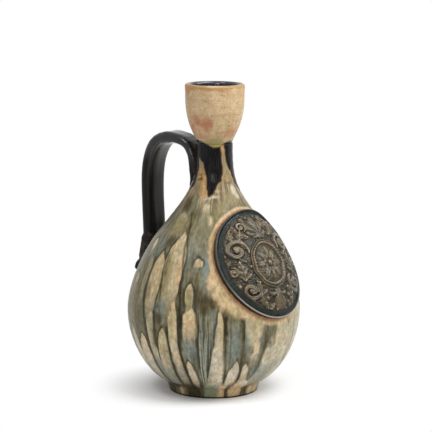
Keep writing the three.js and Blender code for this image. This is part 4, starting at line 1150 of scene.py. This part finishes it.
def makeFloor():
    bpy.ops.object.select_all(action='DESELECT')
    bpy.ops.mesh.primitive_plane_add(size=studio['floorSize'] * mm)
    floor = bpy.context.object
    floor.name = 'studio_floor'
    paper = Finish(bpy.data.materials.new('white_paper'))
    beside = paper.node('ShaderNodeVectorMath', {'operation': 'SUBTRACT'},
                        {0: paper.place(), 1: studio['shadowAt']})
    away = paper.node('ShaderNodeVectorMath', {'operation': 'LENGTH'}, {0: beside}, out='Value')
    matt = paper.node('ShaderNodeBsdfDiffuse', None, {'Color': colour(*studio['paper'])})
    glow = paper.node('ShaderNodeEmission', None, {'Color': colour(255, 255, 255), 'Strength': 1.0})
    white = (away.between(studio['shadowFrom'], studio['shadowTo']) * 0.98 + 0.02) * paper.shown()
    lit = paper.node('ShaderNodeMixShader', None, {0: white, 1: matt, 2: glow})
    paper.node('ShaderNodeOutputMaterial', None, {'Surface': lit})
    floor.data.materials.append(paper.holder)


def makeLamps():
    for number, (turn, lift, size, watts) in enumerate(studio['lamps']):
        azimuth, elevation = math.radians(studio['azimuth'] + turn), math.radians(lift)
        way = np.array([math.sin(azimuth) * math.cos(elevation), -math.cos(azimuth) * math.cos(elevation),
                        math.sin(elevation)])
        place = (way * studio['lampDistance'] + (0, 0, studio['lampAim'])) * mm
        bpy.ops.object.light_add(type='AREA', location=place)
        lamp = bpy.context.object
        lamp.name = f'softbox_{number + 1}'
        lamp.rotation_euler = (math.pi / 2 - elevation, 0, azimuth)
        lamp.data.size = size * mm
        lamp.data.energy = watts


def makeWorld():
    bpy.context.scene.world = bpy.data.worlds.new('studio')
    air = Finish(bpy.context.scene.world)
    lights = [air.node('ShaderNodeBackground', None, {'Color': (1, 1, 1, 1), 'Strength': strength})
              for strength in (studio['ambient'], 1.0)]
    lit = air.node('ShaderNodeMixShader', None, {0: air.shown(), 1: lights[0], 2: lights[1]})
    air.node('ShaderNodeOutputWorld', None, {'Surface': lit})


def makeCamera():
    azimuth = math.radians(studio['azimuth'])
    bpy.ops.object.camera_add()
    camera = bpy.context.object
    camera.name = 'photo_camera'
    place = Matrix.Translation((studio['distance'] * mm * math.sin(azimuth),
                                -studio['distance'] * mm * math.cos(azimuth), studio['height'] * mm))
    aim = Matrix.Rotation(azimuth, 4, 'Z') @ Matrix.Rotation(math.radians(90 - studio['pitch']), 4, 'X')
    camera.matrix_world = place @ aim @ Matrix.Rotation(math.radians(studio['roll']), 4, 'Z')
    camera.data.sensor_width = studio['sensor']
    camera.data.lens = studio['focal'] * studio['sensor'] / studio['frameWidth']
    camera.data.shift_x = (studio['frameWidth'] / 2 - studio['centreX']) / studio['frameWidth']
    camera.data.shift_y = (studio['centreY'] - studio['frameWidth'] / 2) / studio['frameWidth']
    camera.data.clip_end = 100
    bpy.context.scene.camera = camera


makeFloor()
makeLamps()
makeWorld()
makeCamera()
bpy.context.scene.view_settings.view_transform = 'Standard'
print('studio ready')
